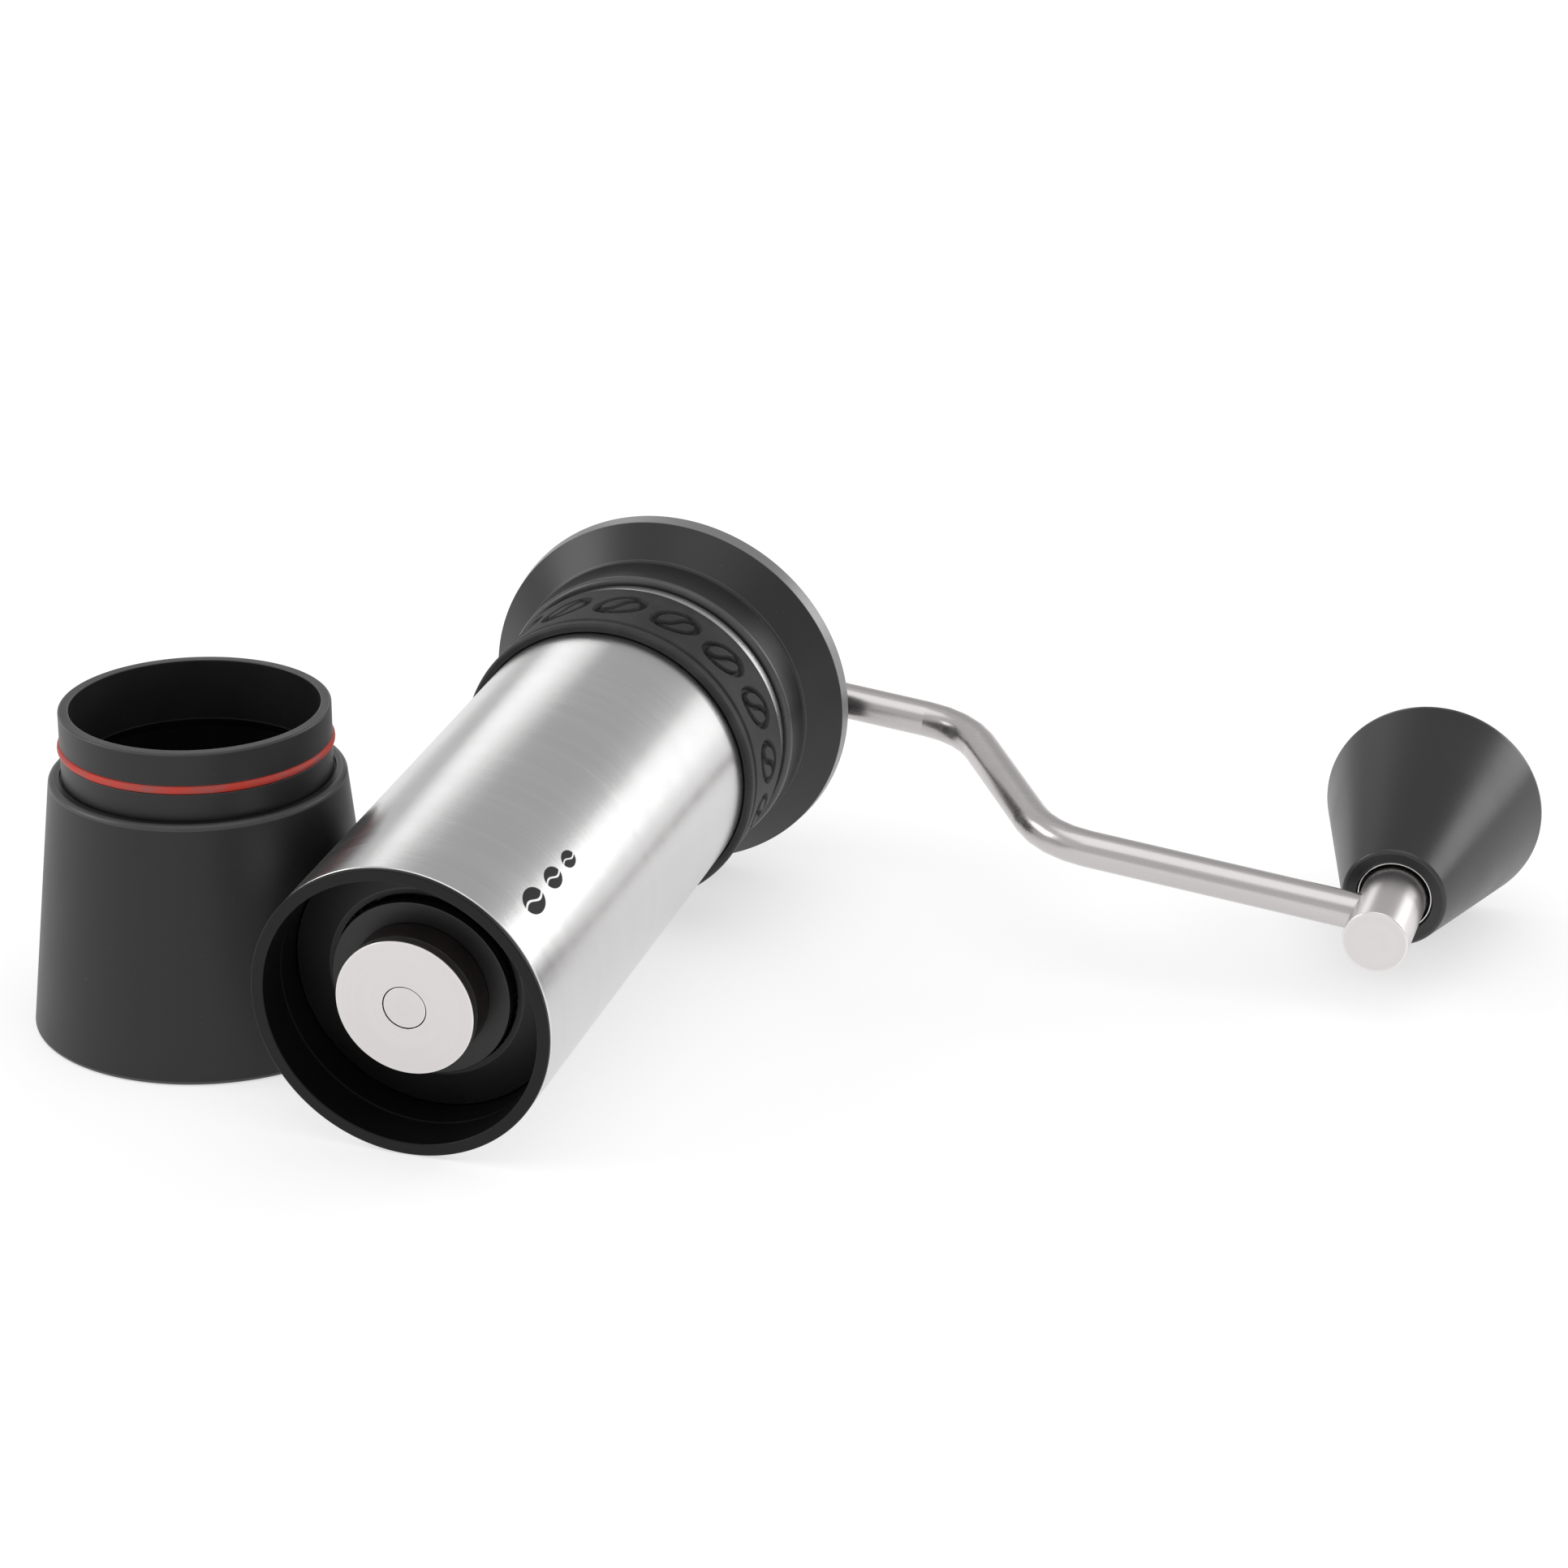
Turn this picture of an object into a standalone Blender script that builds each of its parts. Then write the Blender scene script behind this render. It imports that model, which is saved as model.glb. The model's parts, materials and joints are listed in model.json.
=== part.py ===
"""Hand crank coffee grinder lying on its side, with its catch cup standing beside it.

World frame: metres, +Z up, the table is z = 0. The grinder's own axis runs from the open
bottom end (station 0) to the crank end, mostly along +X and tipped up a few degrees, because
the grinder rests on its bottom rim and on the wider rim of the hopper collar. The crank
points towards -Y and its knob rests on the table too. Each turned piece is a profile of
(radius, station) pairs, listed down the outer side and back up the inner one.
"""
import math

import bmesh
import bpy
from mathutils import Vector

MM = 0.001
FIT = 0.2 * MM            # clearance between pieces that touch on the real grinder
RUN = 0.1 * MM            # radial clearance of a shaft that turns in its bearing
FINE = 32                 # sides of the large turned pieces
ROUND = 20                # sides of the middling ones
SMALL = 12                # sides of the small ones

# Tube, and the socket at its bottom end that takes the cup
TUBE_R = 30.0 * MM
TUBE_IN_R = 28.6 * MM
TUBE_TOP = 139.0 * MM
LAND_R = 31.5 * MM        # raised land that fills the gap between grip and collar
LIP = 1.0 * MM            # the liner's lip caps the tube's end
SOCKET_R = 27.5 * MM
SOCKET_DEPTH = 15.5 * MM
GROOVE_AT = 7.6 * MM      # groove for the cup's O-ring
LINER_TOP = 34.0 * MM

# Burrs
BURR_FACE = 10.9 * MM     # lower face of the turning burr
BURR_R = 18.05 * MM
BURR_TOP = 33.3 * MM
OUTER_BURR_R = 23.4 * MM
OUTER_BURR_TOP = 30.0 * MM
CARRIER_FACE = 13.6 * MM
CLAMP_TOP = 32.4 * MM
SCREW_CIRCLE = 25.5 * MM
SCREW_R = 1.0 * MM

# Spindle and its bearings
SPINDLE_R = 4.25 * MM
SPINDLE_END = 2.9 * MM
SPINDLE_TOP = 171.0 * MM
END_DISC_R = 13.95 * MM
END_DISC_TOP = 5.0 * MM
BEARING_R = 11.0 * MM
LOWER_BRIDGE = (41.0 * MM, 48.0 * MM)
UPPER_BRIDGE = (139.6 * MM, 146.2 * MM)
WINDOW_R = (14.0 * MM, 25.0 * MM)

# Rubber grip, hopper collar and lid
GRIP = (112.4 * MM, 132.3 * MM)
GRIP_R = 31.9 * MM
NECK_R = 32.6 * MM
NECK = (136.0 * MM, 144.7 * MM)
RIM_R = 39.75 * MM
RIM_NEAR_R = 39.4 * MM
RIM = (150.9 * MM, 154.0 * MM)
EDGE = 0.25 * MM          # chamfer on the edges of the tube, the liner's lip and the rim
LID_TOP = 157.8 * MM
LID_HOLE_R = 17.0 * MM

# Adjusting dial on the threaded sleeve
SLEEVE_R = 9.0 * MM
DIAL_R = 15.5 * MM
DIAL = (149.4 * MM, 158.6 * MM)
DIAL_LOBES = 24
DETENT_AT = 11.3 * MM     # radius at which the detent ball sits
DETENT_HOLE_R = 1.15 * MM

# Crank: a rod with an S-bend between the hub and the boss that carries the knob
ROD_R = 3.8 * MM
ROD_LEVEL = 165.9 * MM
BEND_FAR_LEVEL = 125.0 * MM
BEND_R1 = 63.0 * MM
BEND_R2 = 91.8 * MM
BEND_FILLET = 17.0 * MM
KNOB_AXIS_R = 163.1 * MM
HUB_R = 9.0 * MM
HUB = (160.6 * MM, 171.2 * MM)
BOSS_R = 6.7 * MM
BOSS = (114.0 * MM, 138.4 * MM)

# Knob
KNOB_SMALL_R = 10.65 * MM
KNOB_BIG_R = 23.0 * MM
KNOB = (134.1 * MM, 181.6 * MM)
KNOB_WIDE_AT = 179.2 * MM
RECESS_R = 7.85 * MM
RECESS_FLOOR = 139.6 * MM
PIN_R = 3.0 * MM
BUSH_R = 5.6 * MM

# Catch cup
CUP_BASE_R = 35.0 * MM
CUP_TAPER = 0.1064        # millimetres of radius lost per millimetre of height
CUP_SHOULDER = 52.6 * MM
SPIGOT_R = 26.8 * MM
CUP_RIM_R = 24.7 * MM
CUP_TOP = 66.5 * MM
CUP_FLOOR = 3.0 * MM
RING_AT = 58.95 * MM
RING_R = 1.3 * MM

# Where things stand on the table
TILT = math.atan2(RIM_R - TUBE_R, RIM[1] - EDGE)
CUP_FROM_AXIS = 62.6 * MM
CUP_ALONG = 48.6 * MM
CENTRE_X = -90.90 * MM    # puts the model's box over the origin
CENTRE_Y = 43.76 * MM
AXIS_Z = TUBE_R * math.cos(TILT)

# The crank hangs at the angle that puts the knob's wide edge on the table
KNOB_DROP = AXIS_Z + KNOB_WIDE_AT * math.sin(TILT) - KNOB_BIG_R * math.cos(TILT)
CRANK_ANGLE = -math.acos(KNOB_DROP / (KNOB_AXIS_R * math.cos(TILT)))


def clear_scene():
    for ob in list(bpy.data.objects):
        bpy.data.objects.remove(ob, do_unlink=True)


def collection(name):
    col = bpy.data.collections.new(name)
    bpy.context.scene.collection.children.link(col)
    return col


def empty(name, parent=None, location=(0, 0, 0), rotation=(0, 0, 0)):
    ob = bpy.data.objects.new(name, None)
    ob.empty_display_size = 0.01
    ob.parent = parent
    ob.location = location
    ob.rotation_euler = rotation
    PARTS.objects.link(ob)
    return ob


def material(name, colour, roughness, metallic):
    mat = bpy.data.materials.new(name)
    mat.use_nodes = True
    shader = mat.node_tree.nodes["Principled BSDF"]
    shader.inputs["Base Color"].default_value = (*colour, 1.0)
    shader.inputs["Roughness"].default_value = roughness
    shader.inputs["Metallic"].default_value = metallic
    return mat


def steel(name):
    return material(name, (0.62, 0.61, 0.60), 0.32, 1.0)


def black(name, roughness=0.5):
    return material(name, (0.035, 0.035, 0.037), roughness, 0.0)


def place(name, data, parent, mat, location=(0, 0, 0), rotation=(0, 0, 0)):
    """One sub-part: an object of this name, on its parent's axis, with its own material."""
    ob = bpy.data.objects.new(name, data)
    ob.parent = parent
    ob.location = location
    ob.rotation_euler = rotation
    PARTS.objects.link(ob)
    data.materials.append(mat)
    return ob


def profile_mesh(name, profile, closed):
    mesh = bpy.data.meshes.new(name)
    edges = [(i, i + 1) for i in range(len(profile) - 1)]
    if closed:
        edges.append((len(profile) - 1, 0))
    mesh.from_pydata([(r, 0.0, s) for r, s in profile], edges, [])
    return mesh


def add_screw(ob, sides):
    mod = ob.modifiers.new("turn", "SCREW")
    mod.axis = "Z"
    mod.steps = sides
    mod.render_steps = sides
    mod.use_merge_vertices = True
    mod.merge_threshold = 1e-6
    mod.use_smooth_shade = True


def ring(name, profile, parent, mat, sides=ROUND, location=(0, 0, 0)):
    """A turned piece with a hole through it: a closed profile that stays off the axis."""
    ob = place(name, profile_mesh(name, profile, True), parent, mat, location)
    add_screw(ob, sides)
    return ob


def solid(name, profile, parent, mat, sides=ROUND, location=(0, 0, 0)):
    """A turned piece that reaches the axis: its profile starts and ends at radius 0."""
    ob = place(name, profile_mesh(name, profile, False), parent, mat, location)
    add_screw(ob, sides)
    return ob


def washer(name, inner, outer, low, high, parent, mat, sides=ROUND, edge=0.0, location=(0, 0, 0)):
    """A plain ring between two radii and two stations, with its outer edges chamfered."""
    profile = [(inner, high), (outer - edge, high), (outer, high - edge),
               (outer, low + edge), (outer - edge, low), (inner, low)]
    if edge == 0.0:
        profile = [(inner, high), (outer, high), (outer, low), (inner, low)]
    return ring(name, profile, parent, mat, sides, location)


def arc_points(radius, start, end, count):
    """Points on a circle about the origin, from one angle to another."""
    return [(radius * math.cos(start + (end - start) * i / count),
             radius * math.sin(start + (end - start) * i / count)) for i in range(count + 1)]


def flat_plate(name, outlines, thickness, station, parent, mat):
    """A flat outline with holes: the first closed curve is the edge, the rest are openings."""
    curve = bpy.data.curves.new(name, "CURVE")
    curve.dimensions = "2D"
    curve.fill_mode = "BOTH"
    curve.extrude = thickness / 2
    for points in outlines:
        spline = curve.splines.new("POLY")
        spline.points.add(len(points) - 1)
        for point, (x, y) in zip(spline.points, points):
            point.co = (x, y, 0.0, 1.0)
        spline.use_cyclic_u = True
    return place(name, curve, parent, mat, location=(0, 0, station + thickness / 2))


def circle(radius, sides):
    return arc_points(radius, 0.0, math.tau, sides)[:-1]


def window(inner, outer, middle, half_angle):
    """Kidney-shaped opening between two radii, centred on an angle."""
    return (arc_points(outer, middle - half_angle, middle + half_angle, 10)
            + arc_points(inner, middle + half_angle, middle - half_angle, 6))


def bridge(name, span, outer, parent, mat):
    """Three-armed plate across the tube, with a round seat for a bearing in its middle."""
    outlines = [circle(outer, FINE), circle(BEARING_R + FIT, ROUND)]
    for k in range(3):
        outlines.append(window(*WINDOW_R, math.radians(60 + 120 * k), math.radians(50)))
    return flat_plate(name, outlines, span[1] - span[0], span[0], parent, mat)


def tube_curve(name, points, radius, parent, mat, resolution=2):
    """Round rod or wire along points, with filled ends."""
    curve = bpy.data.curves.new(name, "CURVE")
    curve.dimensions = "3D"
    curve.bevel_depth = radius
    curve.bevel_resolution = resolution
    curve.use_fill_caps = True
    spline = curve.splines.new("POLY")
    spline.points.add(len(points) - 1)
    for point, co in zip(spline.points, points):
        point.co = (*co, 1.0)
    return place(name, curve, parent, mat)


def coil(name, radius, wire_r, low, high, turns, per_turn, parent, mat, resolution=2, location=(0, 0, 0)):
    """Compression spring: a helix of wire between two stations."""
    count = int(turns * per_turn)
    rise = high - low - 2 * wire_r
    points = [(radius * math.cos(math.tau * i / per_turn), radius * math.sin(math.tau * i / per_turn),
               low + wire_r + rise * i / count) for i in range(count + 1)]
    ob = tube_curve(name, points, wire_r, parent, mat, resolution)
    ob.location = location


def cutter(name, radius, length, location, rotation, parent):
    """Closed cylinder that only cuts other pieces."""
    mesh = bpy.data.meshes.new(name)
    bm = bmesh.new()
    bmesh.ops.create_cone(bm, cap_ends=True, segments=SMALL, radius1=radius, radius2=radius, depth=length)
    bm.to_mesh(mesh)
    bm.free()
    ob = bpy.data.objects.new(name, mesh)
    ob.parent = parent
    ob.location = location
    ob.rotation_euler = rotation
    ob.hide_render = True
    ob.display_type = "WIRE"
    CUTTERS.objects.link(ob)
    return ob


def cut(ob, tool):
    mod = ob.modifiers.new("cut", "BOOLEAN")
    mod.operation = "DIFFERENCE"
    mod.solver = "EXACT"
    mod.object = tool


def fillet_path(corners, radius, steps):
    """Points along straight runs whose corners are rounded with arcs of one radius."""
    path = [corners[0]]
    for before, corner, after in zip(corners, corners[1:], corners[2:]):
        into = (corner - before).normalized()
        out = (after - corner).normalized()
        turn = into.angle(out)
        setback = radius * math.tan(turn / 2)
        start = corner - into * setback
        centre = start + (out - into * math.cos(turn)).normalized() * radius
        spoke = start - centre
        side = into * radius
        for k in range(steps + 1):
            angle = turn * k / steps
            path.append(centre + spoke * math.cos(angle) + side * math.sin(angle))
    path.append(corners[-1])
    return path


def build_housing(axis):
    """Tube, socket liner and everything that stays still inside and on the tube."""
    ring("body_tube",
         [(TUBE_IN_R, TUBE_TOP), (TUBE_R - EDGE, TUBE_TOP), (TUBE_R, TUBE_TOP - EDGE),
          (TUBE_R, NECK[0] - FIT), (LAND_R, NECK[0] - FIT), (LAND_R, GRIP[1] + FIT), (TUBE_R, GRIP[1] + FIT),
          (TUBE_R, LIP + FIT + EDGE), (TUBE_R - EDGE, LIP + FIT), (TUBE_IN_R, LIP + FIT)],
         axis, steel("tube_steel"), FINE)

    sleeve_r = TUBE_IN_R - FIT
    groove = 0.45 * MM
    half = 1.5 * MM
    seat = SOCKET_DEPTH + FIT
    ring("bottom_liner",
         [(sleeve_r - groove, LINER_TOP), (sleeve_r, LINER_TOP), (sleeve_r, LIP),
          (TUBE_R - EDGE, LIP), (TUBE_R, LIP - EDGE), (TUBE_R, EDGE), (TUBE_R - EDGE, 0.0),
          (SOCKET_R + EDGE, 0.0), (SOCKET_R, EDGE),
          (SOCKET_R, GROOVE_AT - half), (SOCKET_R + groove, GROOVE_AT - half / 2),
          (SOCKET_R + groove, GROOVE_AT + half / 2), (SOCKET_R, GROOVE_AT + half),
          (SOCKET_R, seat), (sleeve_r - groove, seat + groove)],
         axis, black("liner_black"), FINE)

    carrier_r = SOCKET_R - FIT
    pocket_r = OUTER_BURR_R + FIT
    pocket = CARRIER_FACE + 1.4 * MM
    mouth_r = BURR_R + 0.4 * MM
    carrier = ring("burr_carrier",
                   [(pocket_r, OUTER_BURR_TOP), (carrier_r, OUTER_BURR_TOP), (carrier_r, SOCKET_DEPTH),
                    (mouth_r + 1.2 * MM, CARRIER_FACE), (mouth_r, CARRIER_FACE),
                    (mouth_r, pocket), (pocket_r, pocket)],
                   axis, black("carrier_black", 0.55), FINE)
    clamp = washer("burr_clamp_ring", 21.0 * MM, carrier_r, OUTER_BURR_TOP + FIT, CLAMP_TOP, axis,
                   steel("clamp_steel"), FINE)
    ring("outer_burr",
         [(21.2 * MM, OUTER_BURR_TOP), (OUTER_BURR_R, OUTER_BURR_TOP), (OUTER_BURR_R, pocket + FIT),
          (BURR_R + 0.45 * MM, pocket + FIT), (BURR_R + 0.6 * MM, 18.5 * MM)],
         axis, steel("burr_steel"), ROUND)
    for k in range(3):
        angle = math.radians(30 + 120 * k)
        x, y = SCREW_CIRCLE * math.cos(angle), SCREW_CIRCLE * math.sin(angle)
        hole = cutter(f"screw_hole_{k + 1}", SCREW_R + FIT, 20 * MM, (x, y, 34.0 * MM), (0, 0, 0), axis)
        cut(carrier, hole)
        cut(clamp, hole)
        head = CLAMP_TOP + FIT
        solid(f"burr_screw_{k + 1}",
              [(0, head + 1.4 * MM), (1.7 * MM, head + 1.4 * MM), (1.7 * MM, head), (SCREW_R, head),
               (SCREW_R, 24.6 * MM), (0, 24.6 * MM)],
              axis, steel(f"burr_screw_steel_{k + 1}"), 16, (x, y, 0))

    bore_r = TUBE_IN_R - FIT
    bridge("lower_bridge", LOWER_BRIDGE, bore_r, axis, steel("lower_bridge_steel"))
    bridge("upper_bridge", UPPER_BRIDGE, bore_r, axis, steel("upper_bridge_steel"))
    for name, span in (("lower_bearing", LOWER_BRIDGE), ("upper_bearing", UPPER_BRIDGE)):
        washer(name, SPINDLE_R + RUN, BEARING_R, span[0], span[1], axis, steel(name + "_steel"),
               ROUND, 0.4 * MM)
    coil("preload_spring", 7.2 * MM, 0.6 * MM, BURR_TOP + 0.9 * MM, LOWER_BRIDGE[0] - FIT, 3.5, 14,
         axis, steel("spring_steel"))

    edge = 0.7 * MM
    ring("grip_band",
         [(TUBE_R + FIT, GRIP[1]), (GRIP_R - edge, GRIP[1]), (GRIP_R, GRIP[1] - edge),
          (GRIP_R, GRIP[0] + edge), (GRIP_R - edge, GRIP[0]), (TUBE_R + FIT, GRIP[0])],
         axis, black("grip_rubber", 0.75), FINE)

    skirt = TUBE_TOP + FIT
    ring("hopper_collar",
         [(37.0 * MM, RIM[1] - 1.6 * MM), (38.7 * MM, RIM[1] - 1.6 * MM), (38.7 * MM, RIM[1]),
          (RIM_R - EDGE, RIM[1]), (RIM_R, RIM[1] - EDGE), (RIM_NEAR_R, RIM[0]),
          (NECK_R + 0.6 * MM, NECK[1] + 0.5 * MM), (NECK_R, NECK[1]),
          (NECK_R, NECK[0] + 1.2 * MM), (NECK_R - 0.4 * MM, NECK[0] + 0.4 * MM), (NECK_R - 1.2 * MM, NECK[0]),
          (TUBE_R + FIT, NECK[0]), (TUBE_R + FIT, skirt), (TUBE_IN_R, skirt),
          (TUBE_IN_R, UPPER_BRIDGE[1] + 1.0 * MM)],
         axis, black("collar_black", 0.45), FINE)

    washer("threaded_sleeve", SPINDLE_R + 4 * RUN, SLEEVE_R, UPPER_BRIDGE[1] + FIT, 156.0 * MM, axis,
           steel("sleeve_steel"), ROUND, 0.3 * MM)
    index_ring = washer("index_ring", SLEEVE_R + FIT, 13.4 * MM, UPPER_BRIDGE[1] + FIT, 147.6 * MM, axis,
                        steel("index_steel"), ROUND)
    cut(index_ring, cutter("detent_hole", DETENT_HOLE_R, 6 * MM, (DETENT_AT, 0, 147 * MM), (0, 0, 0), axis))


def build_cup(axis):
    """Catch cup that stands mouth up, and the O-ring on its spigot."""
    def side(height):
        return CUP_BASE_R - CUP_TAPER * height

    round_off = 1.6 * MM
    shoulder_r = side(CUP_SHOULDER)
    seat = 0.35 * MM
    seat_r = SPIGOT_R - 0.85 * MM
    wall_foot_r = side(CUP_FLOOR) - 3.4 * MM
    inner_neck = CUP_SHOULDER + 1.4 * MM
    solid("catch_cup",
          [(0, CUP_FLOOR), (wall_foot_r - 3.0 * MM, CUP_FLOOR), (wall_foot_r, CUP_FLOOR + 3.0 * MM),
           (side(inner_neck) - 3.4 * MM, inner_neck - 2.5 * MM), (CUP_RIM_R - 0.6 * MM, inner_neck),
           (CUP_RIM_R, CUP_TOP), (SPIGOT_R - seat, CUP_TOP), (SPIGOT_R, CUP_TOP - seat),
           (SPIGOT_R, RING_AT + RING_R + FIT), (seat_r, RING_AT + RING_R + FIT),
           (seat_r, RING_AT - RING_R - FIT), (SPIGOT_R, RING_AT - RING_R - FIT),
           (SPIGOT_R, CUP_SHOULDER), (shoulder_r - round_off, CUP_SHOULDER),
           (shoulder_r - 0.45 * round_off, CUP_SHOULDER - 0.2 * round_off),
           (side(CUP_SHOULDER - round_off), CUP_SHOULDER - round_off),
           (side(0.6 * MM), 0.6 * MM), (side(0.6 * MM) - 0.6 * MM, 0), (0, 0)],
          axis, black("cup_black", 0.6), FINE)
    tube_r = RING_R
    centre_r = SPIGOT_R + 0.45 * MM - tube_r + 0.1 * MM
    section = [(centre_r + tube_r * math.cos(-math.tau * k / 10), RING_AT + tube_r * math.sin(-math.tau * k / 10))
               for k in range(10)]
    lowest_r = seat_r + FIT
    section = [(max(r, lowest_r), z) for r, z in section]
    ring("cup_oring", section, axis, material("oring_red", (0.55, 0.08, 0.05), 0.5, 0.0), FINE)


def build_lid(axis):
    """Lid that drops into the collar's rim, and the soft ring under it."""
    edge = 0.8 * MM
    base = RIM[1] - 1.6 * MM + FIT
    ring("lid",
         [(LID_HOLE_R, LID_TOP), (33.0 * MM, LID_TOP), (36.6 * MM, LID_TOP - edge), (38.4 * MM, RIM[1] + 0.6 * MM),
          (38.4 * MM, base), (35.4 * MM, base), (35.4 * MM, RIM[1] + 0.5 * MM), (LID_HOLE_R, LID_TOP - 2.0 * MM)],
         axis, black("lid_black", 0.4), FINE)
    washer("lid_seal", 33.4 * MM, 35.2 * MM, base, RIM[1] + 0.3 * MM, axis, black("seal_rubber", 0.8), ROUND)


def build_dial(axis):
    """Lobed dial with a clear hole for the sleeve, its web, and the washer on top of it."""
    lobe_depth = 0.5 * MM
    outline = [((DIAL_R - lobe_depth * (i % 2)) * math.cos(math.tau * i / (2 * DIAL_LOBES)),
                (DIAL_R - lobe_depth * (i % 2)) * math.sin(math.tau * i / (2 * DIAL_LOBES)))
               for i in range(2 * DIAL_LOBES)]
    flat_plate("adjusting_dial", [outline, circle(SLEEVE_R + FIT, ROUND)],
               DIAL[1] - DIAL[0], DIAL[0], axis, steel("dial_steel"))


def build_detent(axis):
    """Ball that clicks under the dial, and the little spring under it in the index ring's hole."""
    ball_r = 0.9 * MM
    ball_top = DIAL[0] - 0.6 * MM
    mesh = bpy.data.meshes.new("detent_ball")
    bm = bmesh.new()
    bmesh.ops.create_uvsphere(bm, u_segments=10, v_segments=6, radius=ball_r)
    bm.to_mesh(mesh)
    bm.free()
    mesh.shade_smooth()
    place("detent_ball", mesh, axis, steel("ball_steel"), location=(DETENT_AT, 0, ball_top - ball_r))
    coil("detent_spring", 0.6 * MM, 0.1 * MM, UPPER_BRIDGE[1] + FIT / 2, ball_top - 2 * ball_r - FIT / 2, 1.5, 8,
         axis, steel("detent_spring_steel"), 0, (DETENT_AT, 0, 0))


def build_carriage(axis):
    """Washer between the dial and the hub: it rises with the dial but doesn't turn."""
    washer("thrust_washer", SPINDLE_R + 2 * RUN, 12.4 * MM, DIAL[1] + FIT, HUB[0] - FIT, axis,
           material("washer_bronze", (0.55, 0.36, 0.17), 0.35, 1.0), ROUND, 0.2 * MM)


def build_spindle(axis):
    """Spindle with the turning burr and what clamps it, from the end disc up."""
    clear = SPINDLE_R + FIT
    chamfer = 0.3 * MM
    solid("spindle",
          [(0, SPINDLE_TOP), (SPINDLE_R - chamfer, SPINDLE_TOP), (SPINDLE_R, SPINDLE_TOP - chamfer),
           (SPINDLE_R, SPINDLE_END), (0, SPINDLE_END)],
          axis, steel("spindle_steel"), ROUND)
    washer("end_disc", clear, END_DISC_R, 2.8 * MM, END_DISC_TOP, axis, steel("disc_steel"), ROUND, 0.15 * MM)
    washer("burr_spacer", clear, 13.8 * MM, END_DISC_TOP + FIT, BURR_FACE - FIT, axis,
           material("spacer_dark", (0.05, 0.045, 0.043), 0.45, 0.4), ROUND)
    ring("inner_burr",
         [(clear, BURR_TOP), (7.6 * MM, BURR_TOP), (9.4 * MM, 31.0 * MM), (17.4 * MM, 18.0 * MM),
          (BURR_R, 14.0 * MM), (BURR_R, BURR_FACE), (clear, BURR_FACE)],
         axis, steel("inner_burr_steel"), ROUND)


def build_crank(axis, boss_axis):
    """Hub, rod, boss and the fasteners at both ends of the crank."""
    clear = SPINDLE_R + FIT
    hub = ring("crank_hub",
               [(clear, HUB[1]), (HUB_R - 0.6 * MM, HUB[1]), (HUB_R, HUB[1] - 0.6 * MM),
                (HUB_R, HUB[0] + 0.6 * MM), (HUB_R - 0.6 * MM, HUB[0]), (clear, HUB[0])],
               axis, steel("hub_steel"), ROUND)
    seat_depth = 3.2 * MM
    hub_hole = cutter("hub_hole", ROD_R + FIT, 12 * MM, (HUB_R - seat_depth + 6 * MM, 0, ROD_LEVEL),
                      (0, math.pi / 2, 0), axis)
    cut(hub, hub_hole)

    boss = solid("knob_boss",
                 [(0, BOSS[1]), (BOSS_R - 0.4 * MM, BOSS[1]), (BOSS_R, BOSS[1] - 0.4 * MM),
                  (BOSS_R, BOSS[0] + 0.3 * MM), (BOSS_R - 0.3 * MM, BOSS[0]), (0, BOSS[0])],
                 boss_axis, steel("boss_steel"), ROUND)
    boss_hole = cutter("boss_hole", ROD_R + FIT, 12 * MM, (-BOSS_R + 2.4 * MM - 6 * MM, 0, BEND_FAR_LEVEL),
                       (0, math.pi / 2, 0), boss_axis)
    cut(boss, boss_hole)
    pin_hole = cutter("pin_hole", PIN_R + FIT, 12 * MM, (0, 0, 131.0 * MM + 6 * MM), (0, 0, 0), boss_axis)
    cut(boss, pin_hole)

    start = HUB_R - seat_depth + FIT
    end = KNOB_AXIS_R - BOSS_R + 2.4 * MM - FIT
    corners = [Vector((start, 0, ROD_LEVEL)), Vector((BEND_R1, 0, ROD_LEVEL)),
               Vector((BEND_R2, 0, BEND_FAR_LEVEL)), Vector((end, 0, BEND_FAR_LEVEL))]
    tube_curve("crank_arm", fillet_path(corners, BEND_FILLET, 6), ROD_R, axis, steel("arm_steel"), 4)

    nut_low = HUB[1] + FIT
    solid("cap_nut",
          [(0, nut_low + 4.4 * MM), (4.6 * MM, nut_low + 4.2 * MM), (6.4 * MM, nut_low + 2.6 * MM),
           (6.6 * MM, nut_low + 1.2 * MM), (6.6 * MM, nut_low), (0, nut_low)],
          axis, steel("nut_steel"), ROUND)

    solid("knob_pin",
          [(0, 171.0 * MM), (PIN_R, 171.0 * MM), (PIN_R, 131.0 * MM + FIT), (0, 131.0 * MM + FIT)],
          boss_axis, steel("pin_steel"), SMALL)
    washer("knob_retainer", PIN_R + FIT, 7.2 * MM, 168.7 * MM, 170.2 * MM, boss_axis, steel("retainer_steel"),
           SMALL, 0.2 * MM)


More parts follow.
